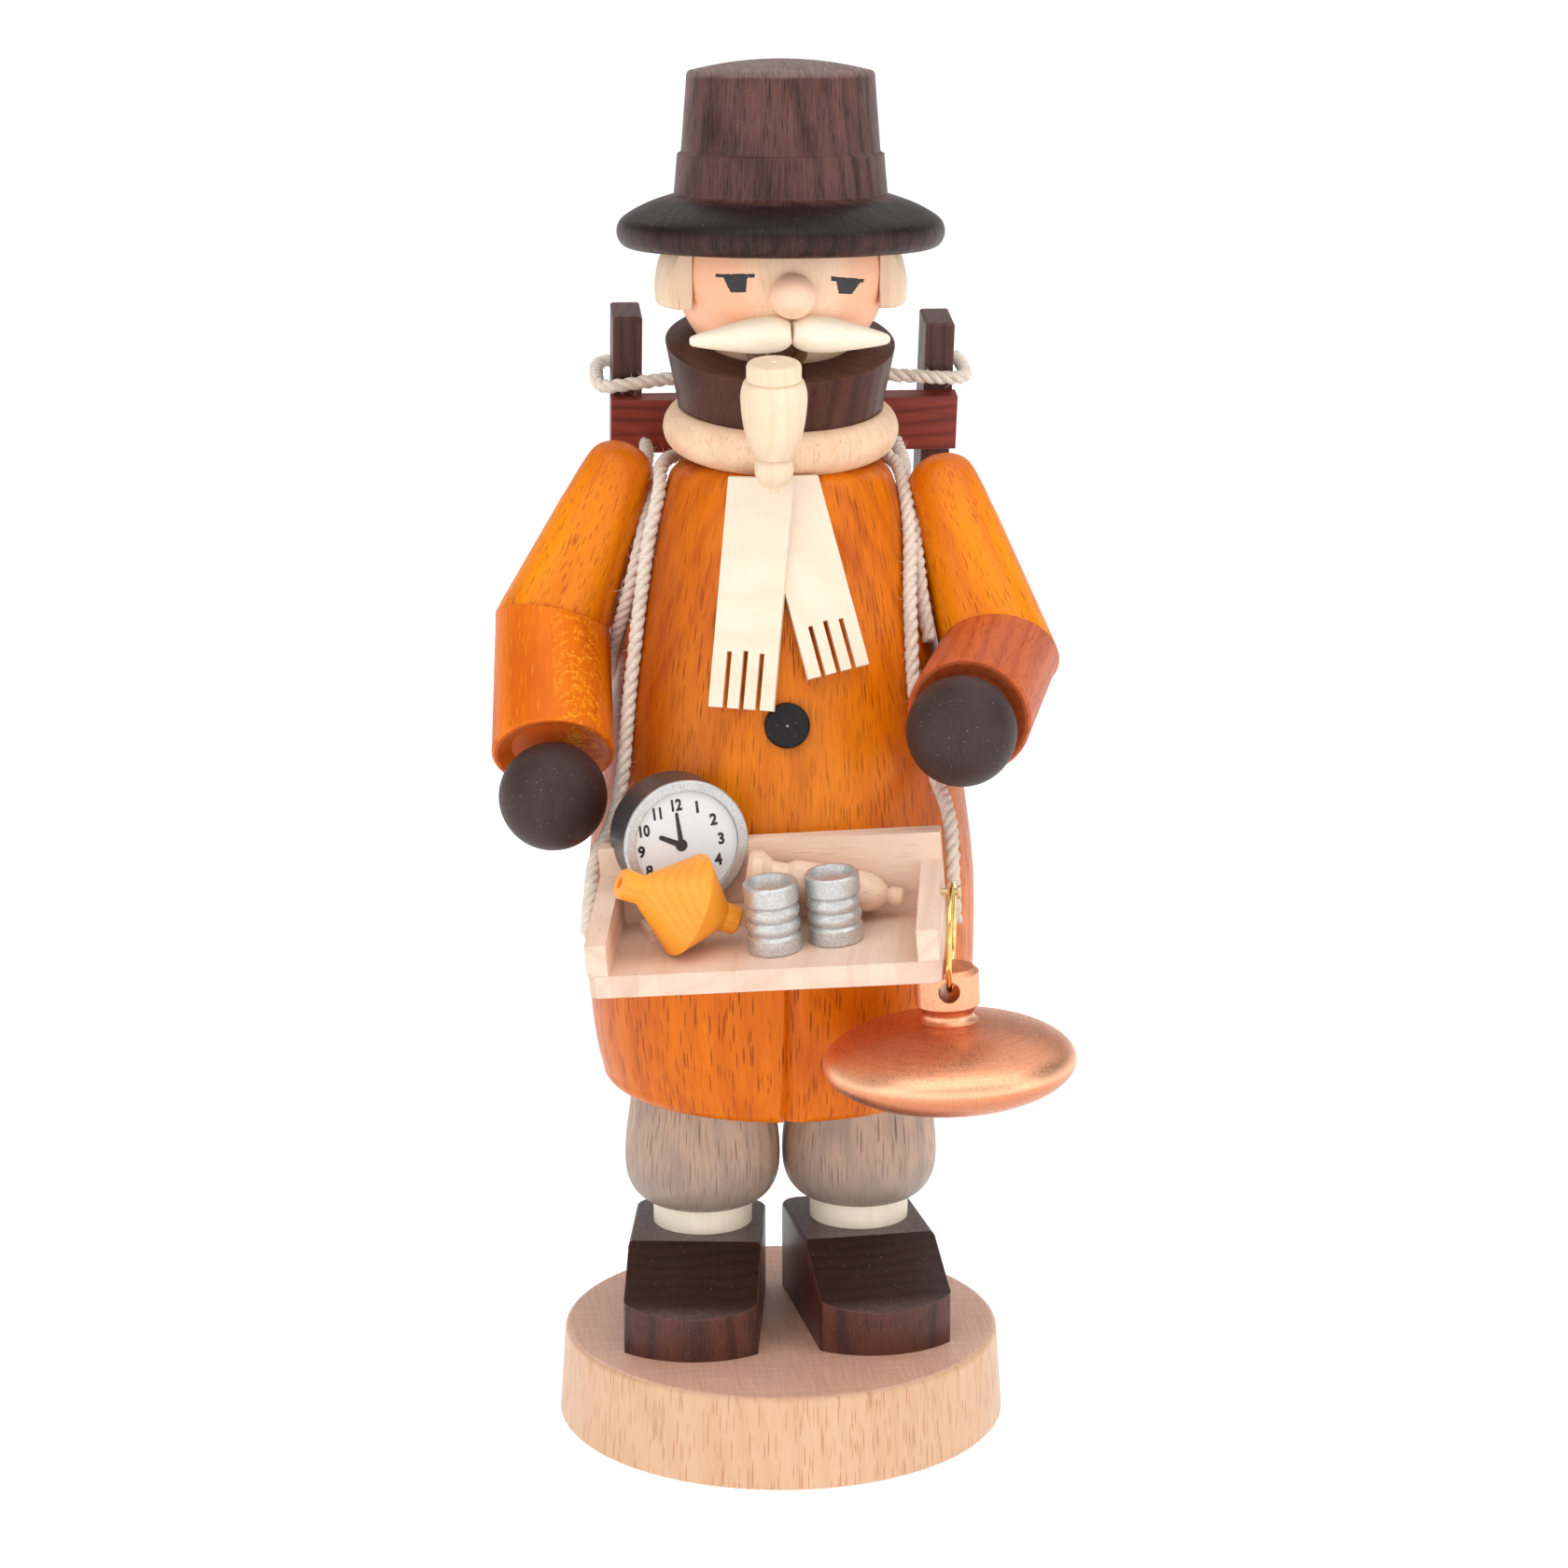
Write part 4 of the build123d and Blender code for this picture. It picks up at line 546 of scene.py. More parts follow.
# natural beech
NAT_L, NAT_D, NAT_F = (0.74, 0.470, 0.292), (0.60, 0.330, 0.180), (0.42, 0.130, 0.042)
TRAY_L, TRAY_D, TRAY_F = (0.86, 0.645, 0.51), (0.72, 0.49, 0.365), (0.48, 0.26, 0.155)



def cut_top(g, col):
    """The disc's upper face gets a darker, pinker colour with faint saw lines both ways; the colour is partly its end
    grain and partly painted shade.
    """
    geo = g.t.nodes.new("ShaderNodeNewGeometry")
    sep = g.t.nodes.new("ShaderNodeSeparateXYZ")
    g.put(sep.inputs[0], geo.outputs["Normal"])
    k = g.step(sep.outputs[2], 0.80, 0.95)
    a = g.noise(g.vec("MULTIPLY", g.p(), (3.2, 0.10, 0.1)), 3.0, 0.6)
    b = g.noise(g.vec("MULTIPLY", g.p(), (0.10, 2.6, 0.1)), 3.0, 0.6)
    n = g.lin(g.math("ADD", a, b), 0.7, 1.3, 0.0, 1.0)
    # darker, pinker up-facing faces: partly end grain, partly painted shade
    return g.mix(g.math("MULTIPLY", k, 0.85), col, g.mix(n, (0.86, 0.57, 0.44), (0.60, 0.355, 0.265)))


dress("base_disc", wood("beech_base", NAT_L, NAT_D, NAT_F, Z, (70, 30, 0), 1.0, turned=(-0.9, -8.67, 45.0), fleck_size=(0.52, 3.0),
                        fleck_share=0.90, fleck_amt=0.95, tone_amt=0.42, fibre_amt=0.42, rough=(0.30, 0.44), mask=cut_top))

# stained coat
COAT_L, COAT_D, COAT_F = (0.86, 0.228, 0.001), (0.42, 0.056, 0.001), (0.13, 0.014, 0.001)


def deep_sides(g, col):
    """Painted light on the coat: painted shade at the sides, deepest under the right arm, and along the hem; a painted
    highlight on the belly.
    """
    sep = g.t.nodes.new("ShaderNodeSeparateXYZ")
    g.put(sep.inputs[0], g.p())
    high = g.step(sep.outputs[2], 84.0, 104.0)
    right = g.math("MULTIPLY", g.step(sep.outputs[0], -9.0, -23.0), 0.62)
    left = g.math("MULTIPLY", g.step(sep.outputs[0], 12.0, 23.0), 0.42)
    mid = g.math("MULTIPLY", g.step(sep.outputs[0], -9.0, 1.0), g.step(sep.outputs[0], 14.0, 4.0))
    mid = g.math("MULTIPLY", g.math("MULTIPLY", mid, g.step(sep.outputs[2], 140.0, 118.0)), g.math("MULTIPLY", high, 0.22))
    # painted highlight on the belly
    col = g.mix(mid, col, (0.95, 0.36, 0.03))
    # painted shade along the hem
    col = g.mix(g.math("MULTIPLY", g.step(sep.outputs[2], 92.0, 78.0), 0.24), col, (0.50, 0.070, 0.001))
    # painted shade at the sides, deepest under the right arm
    return g.mix(g.math("MULTIPLY", g.math("ADD", right, left), high), col, (0.26, 0.032, 0.002))


dress("coat", wood("stained_coat", COAT_L, COAT_D, COAT_F, Z, (9, 92, 0), 2.0, ring=3.4, ring_amt=0.18,
                   turned=(0.0, 0.0, 26.0), fleck_size=(0.52, 2.5), fleck_share=0.90, fleck_amt=0.92, tone_amt=0.62, fibre_amt=0.42,
                   rough=(0.28, 0.40), spec=0.20, mask=deep_sides))


def red_shoulder(place):
    """End grain near the shoulder drank more stain."""
    def tint(g, col):
        d = g.vec("DISTANCE", g.p(), tuple(place))
        return g.mix(g.math("MULTIPLY", g.step(d, 15.0, 3.0), 0.70), col, (0.60, 0.110, 0.001))
    return tint


for sd, seed in (("right", 3.0), ("left", 4.0)):
    s, e, h = ARM[sd]
    dress("upper_arm_" + sd, wood("stained_upper_arm_" + sd, (0.95, 0.300, 0.001), (0.60, 0.105, 0.001), (0.22, 0.024, 0.001),
                                  tuple(e - s), tuple(s + V(20, 30, 0)), seed, ring=4.0, ring_amt=0.25,
                                  fleck_size=(0.44, 3.4), fleck_share=0.84, fleck_amt=0.85, tone_amt=0.66,
                                  rough=(0.30, 0.42), spec=0.24, mask=red_shoulder(s)))
s, e, h = ARM["right"]


def flame(g, col):
    """A column of pale arcs, one above the other, where the saw met the growth rings at a slant."""
    rel = g.vec("SUBTRACT", g.p(), tuple(e))
    w = g.vec("DOT_PRODUCT", rel, tuple((h - e).normalized()))
    sep = g.t.nodes.new("ShaderNodeSeparateXYZ")
    g.put(sep.inputs[0], rel)
    u = g.math("SUBTRACT", sep.outputs[0], 3.4)
    wob = g.noise(g.vec("MULTIPLY", g.p(), (0.30, 0.30, 0.30)), 4.0, 0.65)
    bow = g.math("MULTIPLY_ADD", g.math("MULTIPLY", u, u), -0.16, w)
    ph = g.math("MULTIPLY", g.math("MULTIPLY_ADD", wob, 9.0, bow), 2 * math.pi / 2.3)
    arc = g.step(g.math("SINE", ph), 0.35, 0.95)
    side = g.step(g.math("ABSOLUTE", u), 5.2, 1.6)
    fine = g.step(g.noise(g.vec("MULTIPLY", g.p(), (2.6, 2.6, 2.6)), 2.0, 0.6), 0.40, 0.58)
    return g.mix(g.math("MULTIPLY", g.math("MULTIPLY", arc, side), g.math("MULTIPLY", fine, 0.62)), col, (0.98, 0.46, 0.02))


dress("forearm_right", wood("stained_forearm_right", (0.84, 0.195, 0.002), (0.52, 0.076, 0.001), (0.97, 0.36, 0.01),
                            tuple(h - e), tuple(e + V(4, 26, 10)), 5.0, ring=3.0, ring_amt=0.35,
                            fleck_size=(0.46, 2.0), fleck_share=0.45, fleck_amt=0.60, rough=(0.32, 0.48), spec=0.18,
                            end=(0.62, 0.100, 0.012), end_amt=0.85, mask=flame))
s, e, h = ARM["left"]
dress("forearm_left", wood("stained_forearm_left", (0.60, 0.130, 0.032), (0.38, 0.058, 0.013), (0.16, 0.020, 0.005),
                           tuple(h - e), tuple(e + V(14, 20, 8)), 6.0, ring=2.0, ring_amt=0.40,
                           fleck_size=(0.40, 1.8), fleck_share=0.76, fleck_amt=0.62, rough=(0.36, 0.52), spec=0.22,
                           end=(0.38, 0.070, 0.020), end_amt=0.7))
dress("arm_dowels", wood("beech_arm_dowels", NAT_L, NAT_D, NAT_F, Z, (20, 20, 0), 6.5))

def dark_brim(g, col):
    """Dark brim, partly its darker end grain and partly painted shade, deepest on up-facing faces; a greyer top of the
    crown, which is a painted sheen.
    """
    sep = g.t.nodes.new("ShaderNodeSeparateXYZ")
    g.put(sep.inputs[0], g.p())
    k = g.step(sep.outputs[2], 199.6, 198.4)
    wear_and_sheen_mask = g.lin(g.noise(g.vec("MULTIPLY", g.p(), (1.9, 0.16, 0.5)), 4.0, 0.65), 0.35, 0.65, 0.16, 0.62)
    crown = g.math("MULTIPLY", g.step(sep.outputs[2], 217.2, 217.9), wear_and_sheen_mask)
    # painted sheen in streaks on the top of the crown
    col = g.mix(crown, col, (0.30, 0.205, 0.170))
    geo = g.t.nodes.new("ShaderNodeNewGeometry")
    up = g.t.nodes.new("ShaderNodeSeparateXYZ")
    g.put(up.inputs[0], geo.outputs["Normal"])
    # the brim darker, most on up-facing faces: partly darker end grain, partly painted shade
    k = g.math("MULTIPLY", k, g.lin(up.outputs[2], -0.1, 0.45, 0.62, 0.92))
    return g.mix(k, col, (0.006, 0.003, 0.003))


def dark_upper(g, col):
    """Painted shade on the shoes' upward slopes and a greyer painted sheen on their level faces."""
    geo = g.t.nodes.new("ShaderNodeNewGeometry")
    sep = g.t.nodes.new("ShaderNodeSeparateXYZ")
    g.put(sep.inputs[0], geo.outputs["Normal"])
    k = g.step(sep.outputs[2], 0.45, 0.75)
    # painted shade: upward-sloping faces darker
    col = g.mix(g.math("MULTIPLY", k, 0.78), col, (0.008, 0.003, 0.002))
    n = g.noise(g.vec("MULTIPLY", g.p(), (1.1, 1.1, 1.1)), 3.0, 0.6)
    flat = g.math("MULTIPLY", g.step(sep.outputs[2], 0.93, 0.985), g.lin(n, 0.35, 0.65, 0.45, 0.95))
    # painted sheen: level faces greyer
    return g.mix(flat, col, (0.150, 0.105, 0.098))


# dark stain
DK_L, DK_D, DK_F = (0.100, 0.058, 0.046), (0.040, 0.019, 0.016), (0.016, 0.008, 0.007)
dress("hat", wood("dark_hat", (0.140, 0.058, 0.047), (0.031, 0.012, 0.010), (0.008, 0.003, 0.003), Z, (30, 44, 0), 7.0, ring=3.0, ring_amt=0.4,
                  turned=(0.0, 0.0, 15.0), fleck_size=(0.40, 1.8), fleck_share=0.90, fleck_amt=0.9, tone_amt=0.58, fibre_amt=0.85, blotch=0.38,
                  rough=(0.34, 0.48), wear=0.45, wear_col=(0.20, 0.105, 0.075), dust=0.45, spec=0.20, mask=dark_brim))
dress("collar", wood("dark_collar", (0.100, 0.034, 0.022), (0.036, 0.011, 0.007), (0.010, 0.004, 0.003), Z, (34, 20, 0), 8.0, ring=2.6, ring_amt=0.4,
                     fleck_size=(0.5, 2.6), fleck_share=0.4, fleck_amt=0.6, tone_amt=0.55, fibre_amt=0.45,
                     rough=(0.28, 0.42), wear=0.5, wear_col=(0.17, 0.085, 0.06), dust=0.3, spec=0.14))
for sd, seed, yaw in (("right", 9.0, -8.0), ("left", 10.0, 5.5)):
    far = (62.0 * math.sin(math.radians(yaw)), 62.0 * math.cos(math.radians(yaw)), 0.0)
    dress("shoe_" + sd, wood("dark_shoe_" + sd, (0.110, 0.031, 0.019), (0.030, 0.008, 0.005), (0.012, 0.004, 0.003), Z, far, seed,
                             ring=2.1, ring_amt=0.60, fleck_size=(0.34, 1.8), fleck_share=0.7, fleck_amt=0.9,
                             tone_amt=0.45, fibre_amt=0.45, blotch=0.25, rough=(0.36, 0.52), wear=0.75, coat=0.25,
                             wear_col=(0.22, 0.10, 0.07), dust=0.7, spec=0.28, mask=dark_upper))
for sd, seed in (("right", 11.0), ("left", 12.0)):
    dress("hand_" + sd, wood("dark_hand_" + sd, (0.060, 0.032, 0.029), (0.024, 0.012, 0.011), (0.010, 0.006, 0.005), Z,
                             (20, 20, 0), seed, ring=2.6, ring_amt=0.08, fleck_size=(0.4, 1.6), fleck_share=0.4,
                             fleck_amt=0.5, rough=(0.44, 0.58), bump=0.35, dust=0.9, spec=0.26))

# grey trousers, pale socks
def grey_cuff(g, col):
    """The grey stain is heavier towards the bottom of the leg."""
    sep = g.t.nodes.new("ShaderNodeSeparateXYZ")
    g.put(sep.inputs[0], g.p())
    n = g.noise(g.vec("MULTIPLY", g.p(), (0.30, 0.30, 0.30)), 3.0, 0.6)
    z = g.math("MULTIPLY_ADD", g.math("SUBTRACT", n, 0.5), 9.0, sep.outputs[2])
    return g.mix(g.math("MULTIPLY", g.step(z, 47.0, 39.0), 0.62), col, (0.265, 0.215, 0.190))


for sd, seed in (("right", 13.0), ("left", 14.0)):
    dress("leg_" + sd, wood("grey_leg_" + sd, (0.56, 0.370, 0.262), (0.28, 0.198, 0.158), (0.12, 0.066, 0.044), Z,
                            (26, 40, 0), seed, ring=3.2, ring_amt=0.3, turned=(-13.0 if sd == "right" else 13.0, 0.0, 15.0), fleck_size=(0.50, 3.2), fleck_share=0.88,
                            fleck_amt=1.0, tone_amt=0.55, fibre_amt=0.5, blotch=0.45, rough=(0.36, 0.52), mask=grey_cuff))
    dress("sock_" + sd, wood("maple_sock_" + sd, (0.96, 0.87, 0.71), (0.89, 0.76, 0.58), (0.76, 0.59, 0.41), Z,
                             (30, 20, 0), seed + 0.5, fleck_share=0.2, fleck_amt=0.3, tone_amt=0.5, fibre_amt=0.35,
                             rough=(0.36, 0.5)))
dress("leg_dowels", wood("beech_leg_dowels", NAT_L, NAT_D, NAT_F, Z, (20, 20, 0), 14.7))
dress("body_dowels", wood("beech_body_dowels", NAT_L, NAT_D, NAT_F, (0, 1, 0), (20, 0, 20), 14.8))

# hidden inside the coat
dress("burner_disc", wood("beech_burner", NAT_L, NAT_D, NAT_F, Z, (50, 20, 0), 14.9))
for node, col in (("cone_dish", ((0.60, 0.58, 0.54), (0.40, 0.38, 0.35))), ("dish_nail", ((0.55, 0.54, 0.52), (0.36, 0.35, 0.33))),
                  ("frame_nails", ((0.52, 0.50, 0.47), (0.30, 0.28, 0.26)))):
    dress(node, paint("steel_" + node, col[0], col[1], (0.25, 0.42), metallic=1.0, bump=0.15, peel=2.5))
dress("neck_tube", wood("beech_neck", NAT_L, NAT_D, NAT_F, Z, (40, 10, 0), 15.0))

# head
HEAD_C = V(0, 0, 188)


def on_head(lon, lat, r):
    a, b = math.radians(lon), math.radians(lat)
    return HEAD_C + V(math.sin(a) * math.cos(b), -math.cos(a) * math.cos(b), math.sin(b)) * r


def blush(g, col):
    """Sprayed peach over the cheeks, fading into bare wood on the forehead and chin."""
    p = g.p()
    m = None
    for lon, lat, inner, outer in ((-58.0, -8.0, 7.0, 14.5), (66.0, -9.0, 7.0, 14.5)):
        d = g.vec("DISTANCE", p, tuple(on_head(lon, lat, 16.6)))
        k = g.step(d, outer, inner)
        m = k if m is None else g.math("MAXIMUM", m, k)
    n = g.noise(g.vec("MULTIPLY", p, (0.5, 0.5, 0.5)), 3.0, 0.6)
    m = g.math("MULTIPLY", m, g.lin(n, 0.2, 0.8, 0.72, 0.95))
    return g.mix(m, col, (0.98, 0.47, 0.27))


dress("head", wood("face_wood", (0.99, 0.71, 0.50), (0.82, 0.54, 0.36), (0.48, 0.27, 0.16), Z, (12, 50, 0), 16.0, ring=2.2,
                   ring_amt=0.25, fleck_size=(0.42, 2.6), fleck_share=0.42, fleck_amt=0.45, tone_amt=0.4, fibre_amt=0.5,
                   rough=(0.36, 0.5), mask=blush))
dress("nose", wood("peach_nose", (0.98, 0.64, 0.45), (0.93, 0.52, 0.34), (0.82, 0.40, 0.25), Z, (12, 30, 0), 17.0,
                   fleck_share=0.2, fleck_amt=0.2, tone_amt=0.4, fibre_amt=0.2, rough=(0.30, 0.42), coat=0.12))
dress("hair", wood("beech_hair", (0.88, 0.66, 0.46), (0.74, 0.49, 0.31), NAT_F, Z, (40, 40, 0), 18.0, fleck_size=(0.55, 2.8),
                   fleck_share=0.42, fleck_amt=0.5, rough=(0.36, 0.5)))
dress("scarf_ring", wood("beech_scarf_ring", (0.88, 0.63, 0.42), (0.73, 0.46, 0.28), NAT_F, Z, (50, 30, 0), 19.0,
                         fleck_size=(0.48, 2.0), fleck_share=0.65, fleck_amt=0.5, rough=(0.36, 0.5)))
IV_L, IV_D, IV_F = (0.93, 0.80, 0.61), (0.82, 0.66, 0.46), (0.66, 0.47, 0.29)
dress("moustache_right", wood("maple_moustache_right", (0.95, 0.85, 0.69), (0.88, 0.75, 0.57), IV_F, (0.96, 0.1, 0.2), (0, 20, 150), 20.0,
                              ring=1.6, ring_amt=0.2, fleck_share=0.12, fleck_amt=0.25, tone_amt=0.5, rough=(0.32, 0.46)))
dress("moustache_left", wood("maple_moustache_left", (0.95, 0.85, 0.69), (0.88, 0.75, 0.57), IV_F, (0.96, -0.1, -0.2), (0, 20, 150), 21.0,
                             ring=1.6, ring_amt=0.2, fleck_share=0.12, fleck_amt=0.25, tone_amt=0.5, rough=(0.32, 0.46)))
PIPE_AX = (-0.02, -0.19, 0.98)


def centre_mark(place, radius, colour):
    """A small pale dot round the given place; on the button it is a painted highlight."""
    def tint(g, col):
        return g.mix(g.step(g.vec("DISTANCE", g.p(), place), radius, radius * 0.5), col, colour)
    return tint


for node, seed in (("pipe_bowl", 22.0), ("pipe_knob", 22.6)):
    dress(node, wood("maple_" + node, (0.86, 0.705, 0.515), (0.74, 0.555, 0.365), (0.54, 0.36, 0.20), PIPE_AX, (16, -16, 150), seed,
                     ring=2.0, ring_amt=0.25, fleck_size=(0.4, 2.2), fleck_share=0.3, fleck_amt=0.4, tone_amt=0.55,
                     fibre_amt=0.4, rough=(0.32, 0.46), mask=centre_mark((-4.06, -29.17, 176.57), 0.45, (0.98, 0.92, 0.82))))
dress("pipe_stem", wood("dark_pipe_stem", (0.30, 0.17, 0.11), (0.16, 0.08, 0.05), DK_F, (0.1, -0.6, -0.8), (10, 10, 150), 22.9))

for node, axis, seed in (("scarf_tail_long", (-0.08, -0.12, 0.98), 23.0), ("scarf_tail_short", (0.34, -0.12, -0.93), 24.0)):
    dress(node, wood("lime_" + node, (0.86, 0.72, 0.575), (0.78, 0.62, 0.465), (0.62, 0.44, 0.29), axis, (18, 60, 150), seed,
                     ring=2.6, ring_amt=0.28, fleck_size=(0.4, 2.4), fleck_share=0.22, fleck_amt=0.3, tone_amt=0.45,
                     fibre_amt=0.3, rough=(0.46, 0.6), bump=0.2, soften=0.12))
# the grey dot in the button's middle is a painted highlight
dress("coat_button", paint("black_button", (0.012, 0.010, 0.011), (0.007, 0.006, 0.006), (0.44, 0.58), bump=0.35, peel=1.6, dust=0.6, spec=0.25, mask=centre_mark((-1.93, -28.24, 121.08), 0.26, (0.30, 0.28, 0.28))))

# tray and goods
def end_bands(g, col):
    """Blocks of end grain side by side along the board's front edge."""
    t = g.vec("DOT_PRODUCT", g.vec("SUBTRACT", g.p(), tuple(TRAY_O)), tuple(TEX))
    comb = g.t.nodes.new("ShaderNodeCombineXYZ")
    g.put(comb.inputs[0], g.math("MULTIPLY", t, 0.24))
    d, c = g.cells(comb.outputs[0])
    return g.mix(g.lin(g.part(c, 0), 0.0, 1.0, 0.0, 0.42), col, (0.60, 0.375, 0.265))


dress("tray_floor", wood("beech_tray_floor", TRAY_L, TRAY_D, TRAY_F, tuple(TEY), tuple(tray_pt(14, 0, -46)), 25.0, ring=3.6,
                         ring_amt=0.34, fleck_size=(0.5, 2.2), fleck_share=0.34, fleck_amt=0.40, tone_amt=0.40, fibre_amt=0.40,
                         rough=(0.52, 0.66), soften=0.2, mask=end_bands))
dress("tray_back", wood("beech_tray_back", TRAY_L, TRAY_D, TRAY_F, tuple(TEX), tuple(tray_pt(0, 46, 20)), 26.0, ring=3.0,
                        ring_amt=0.45, fleck_size=(0.5, 3.0), fleck_share=0.34, fleck_amt=0.42, tone_amt=0.55, fibre_amt=0.45,
                        rough=(0.52, 0.66), soften=0.2))
for sd, seed, k in (("right", 27.0, -1), ("left", 28.0, 1)):
    dress("tray_side_" + sd, wood("beech_tray_side_" + sd, TRAY_L, TRAY_D, TRAY_F, tuple(TEY), tuple(tray_pt(k * 50, 0, -30)), seed,
                                  ring=3.0, ring_amt=0.4, fleck_size=(0.5, 2.6), fleck_share=0.34, fleck_amt=0.4, tone_amt=0.5,
                                  rough=(0.52, 0.66), soften=0.2))
MILL_AX = tuple(tray_pt(20.3, -5.95, 3.0) - tray_pt(-2.0, -6.85, 8.6))
dress("pepper_mill", wood("beech_mill", (0.86, 0.62, 0.455), (0.72, 0.465, 0.315), (0.46, 0.24, 0.13), MILL_AX, tuple(tray_pt(8, 10, -20)), 29.0,
                          fleck_size=(0.28, 2.0), fleck_share=0.70, fleck_amt=0.7, rough=(0.40, 0.55)))
dress("clock_stand", wood("beech_clock_stand", TRAY_L, TRAY_D, TRAY_F, tuple(TEX), tuple(tray_pt(0, 20, 40)), 29.5, rough=(0.5, 0.64)))
TOP_AX = (-0.9059, -0.1999, 0.3734)
dress("spinning_top", wood("orange_top", (0.95, 0.375, 0.022), (0.80, 0.25, 0.012), (0.50, 0.12, 0.006), TOP_AX, (-19, -30, 80), 30.0,
                           ring=1.1, ring_amt=0.3, fleck_size=(0.30, 1.6), fleck_share=0.4, fleck_amt=0.35, tone_amt=0.5,
                           fibre_amt=0.4, rough=(0.36, 0.5)))

CLOCK_F = V(-17.9666, -36.5588, 105.0088)
CLOCK_N = V(0.1773, -0.9829, 0.0502).normalized()
CLOCK_X = V(0.9776, 0.1818, 0.1065).normalized()
CLOCK_Y = CLOCK_N.cross(CLOCK_X).normalized()


def bezel_front(g, col):
    """The bezel is silver, the case behind it graphite."""
    d = g.vec("DOT_PRODUCT", g.vec("SUBTRACT", g.p(), tuple(CLOCK_F)), tuple(CLOCK_N))
    n = g.noise(g.vec("MULTIPLY", g.p(), (0.9, 0.9, 0.9)), 3.0, 0.6)
    d = g.math("MULTIPLY_ADD", g.math("SUBTRACT", n, 0.5), 0.25, d)
    return g.mix(g.step(d, -0.75, -0.5), g.mix(n, (0.17, 0.155, 0.15), (0.09, 0.08, 0.078)), col)


SILVER = ((0.64, 0.635, 0.62), (0.46, 0.455, 0.445))
dress("clock_case", paint("clock_paint", SILVER[0], SILVER[1], (0.34, 0.48), flake=0.16, metallic=0.72, bump=0.45, mask=bezel_front, peel=2.2))
dress("clock_dial", paint("dial_paper", (0.75, 0.775, 0.785), (0.71, 0.735, 0.745), (0.45, 0.6), bump=0.08, peel=1.5))
for node in ("can_front", "can_back"):
    dress(node, paint("silver_" + node, SILVER[0], SILVER[1], (0.34, 0.46), flake=0.22, flake_mm=0.15, metallic=0.70, bump=0.30, peel=3.2, uneven_amt=0.45,
                      axis=tuple(TEZ), lines=0.12))


def thick_under(g, col):
    """Painted light on the flask: a bright painted reflection round the belly, and painted shade on the top and the
    underside.
    """
    geo = g.t.nodes.new("ShaderNodeNewGeometry")
    sep = g.t.nodes.new("ShaderNodeSeparateXYZ")
    g.put(sep.inputs[0], geo.outputs["Normal"])
    nz = sep.outputs[2]
    # painted shade on the top
    col = g.mix(g.math("MULTIPLY", g.step(nz, 0.70, 0.95), 0.15), col, (0.60, 0.225, 0.13))
    # painted reflection: a bright band round the belly
    belly = g.math("MULTIPLY", g.step(nz, -0.20, 0.15), g.step(nz, 0.92, 0.40))
    col = g.mix(g.math("MULTIPLY", belly, 0.62), col, (1.0, 0.60, 0.36))
    # painted shade on the underside
    return g.mix(g.math("MULTIPLY", g.step(nz, 0.05, -0.65), 0.66), col, (0.52, 0.175, 0.085))


dress("copper_flask", paint("copper_paint", (0.92, 0.43, 0.24), (0.64, 0.23, 0.118), (0.30, 0.42), flake=0.16, flake_mm=0.16, metallic=0.94,
                            bump=0.34, axis=(-0.0411, 0.008, 0.9991), lines=0.50, peel=4.0, dust=0.40, uneven_amt=0.28, mask=thick_under))
dress("hanging_ring", paint("brass_wire", (0.90, 0.66, 0.24), (0.78, 0.52, 0.16), (0.10, 0.20), metallic=1.0, bump=0.08, peel=1.0))
dress("ring_pin", paint("brass_pin", (0.80, 0.60, 0.34), (0.66, 0.46, 0.24), (0.34, 0.46), metallic=0.8, bump=0.08, peel=1.5))

# back frame
FR_Z = V(0.0, -math.sin(math.radians(13.0)), math.cos(math.radians(13.0)))
for sd, seed in (("right", 31.0), ("left", 32.0)):
    dress("frame_post_" + sd, wood("dark_post_" + sd, (0.105, 0.037, 0.028), (0.042, 0.013, 0.010), (0.018, 0.006, 0.005), (0, -0.225, 0.974),
                                   (30, 60, 0), seed, ring=1.9, ring_amt=0.6, fleck_size=(0.45, 3.0), fleck_share=0.45,
                                   fleck_amt=0.6, tone_amt=0.5, fibre_amt=0.5, rough=(0.38, 0.54), wear=0.5, wear_col=(0.24, 0.10, 0.07), dust=0.3, spec=0.4))
for node, seed in (("frame_board_top", 33.0), ("frame_board_middle", 34.0), ("frame_shelf", 35.0)):
    dress(node, wood("red_" + node, (0.310, 0.050, 0.031), (0.130, 0.019, 0.013), (0.050, 0.009, 0.007), (1, 0, 0),
                     (0, 40, 130), seed, ring=2.0, ring_amt=0.5, fleck_size=(0.45, 3.4), fleck_share=0.45, fleck_amt=0.6,
                     tone_amt=0.5, fibre_amt=0.55, rough=(0.38, 0.54), wear=0.55, wear_col=(0.40, 0.10, 0.065), dust=0.3, spec=0.4))


# ------------------------------------------------------------------ painted eyes

INK = paint("black_ink", (0.030, 0.028, 0.030), (0.014, 0.013, 0.014), (0.45, 0.60), bump=0.25, peel=2.0, soften=0.05)


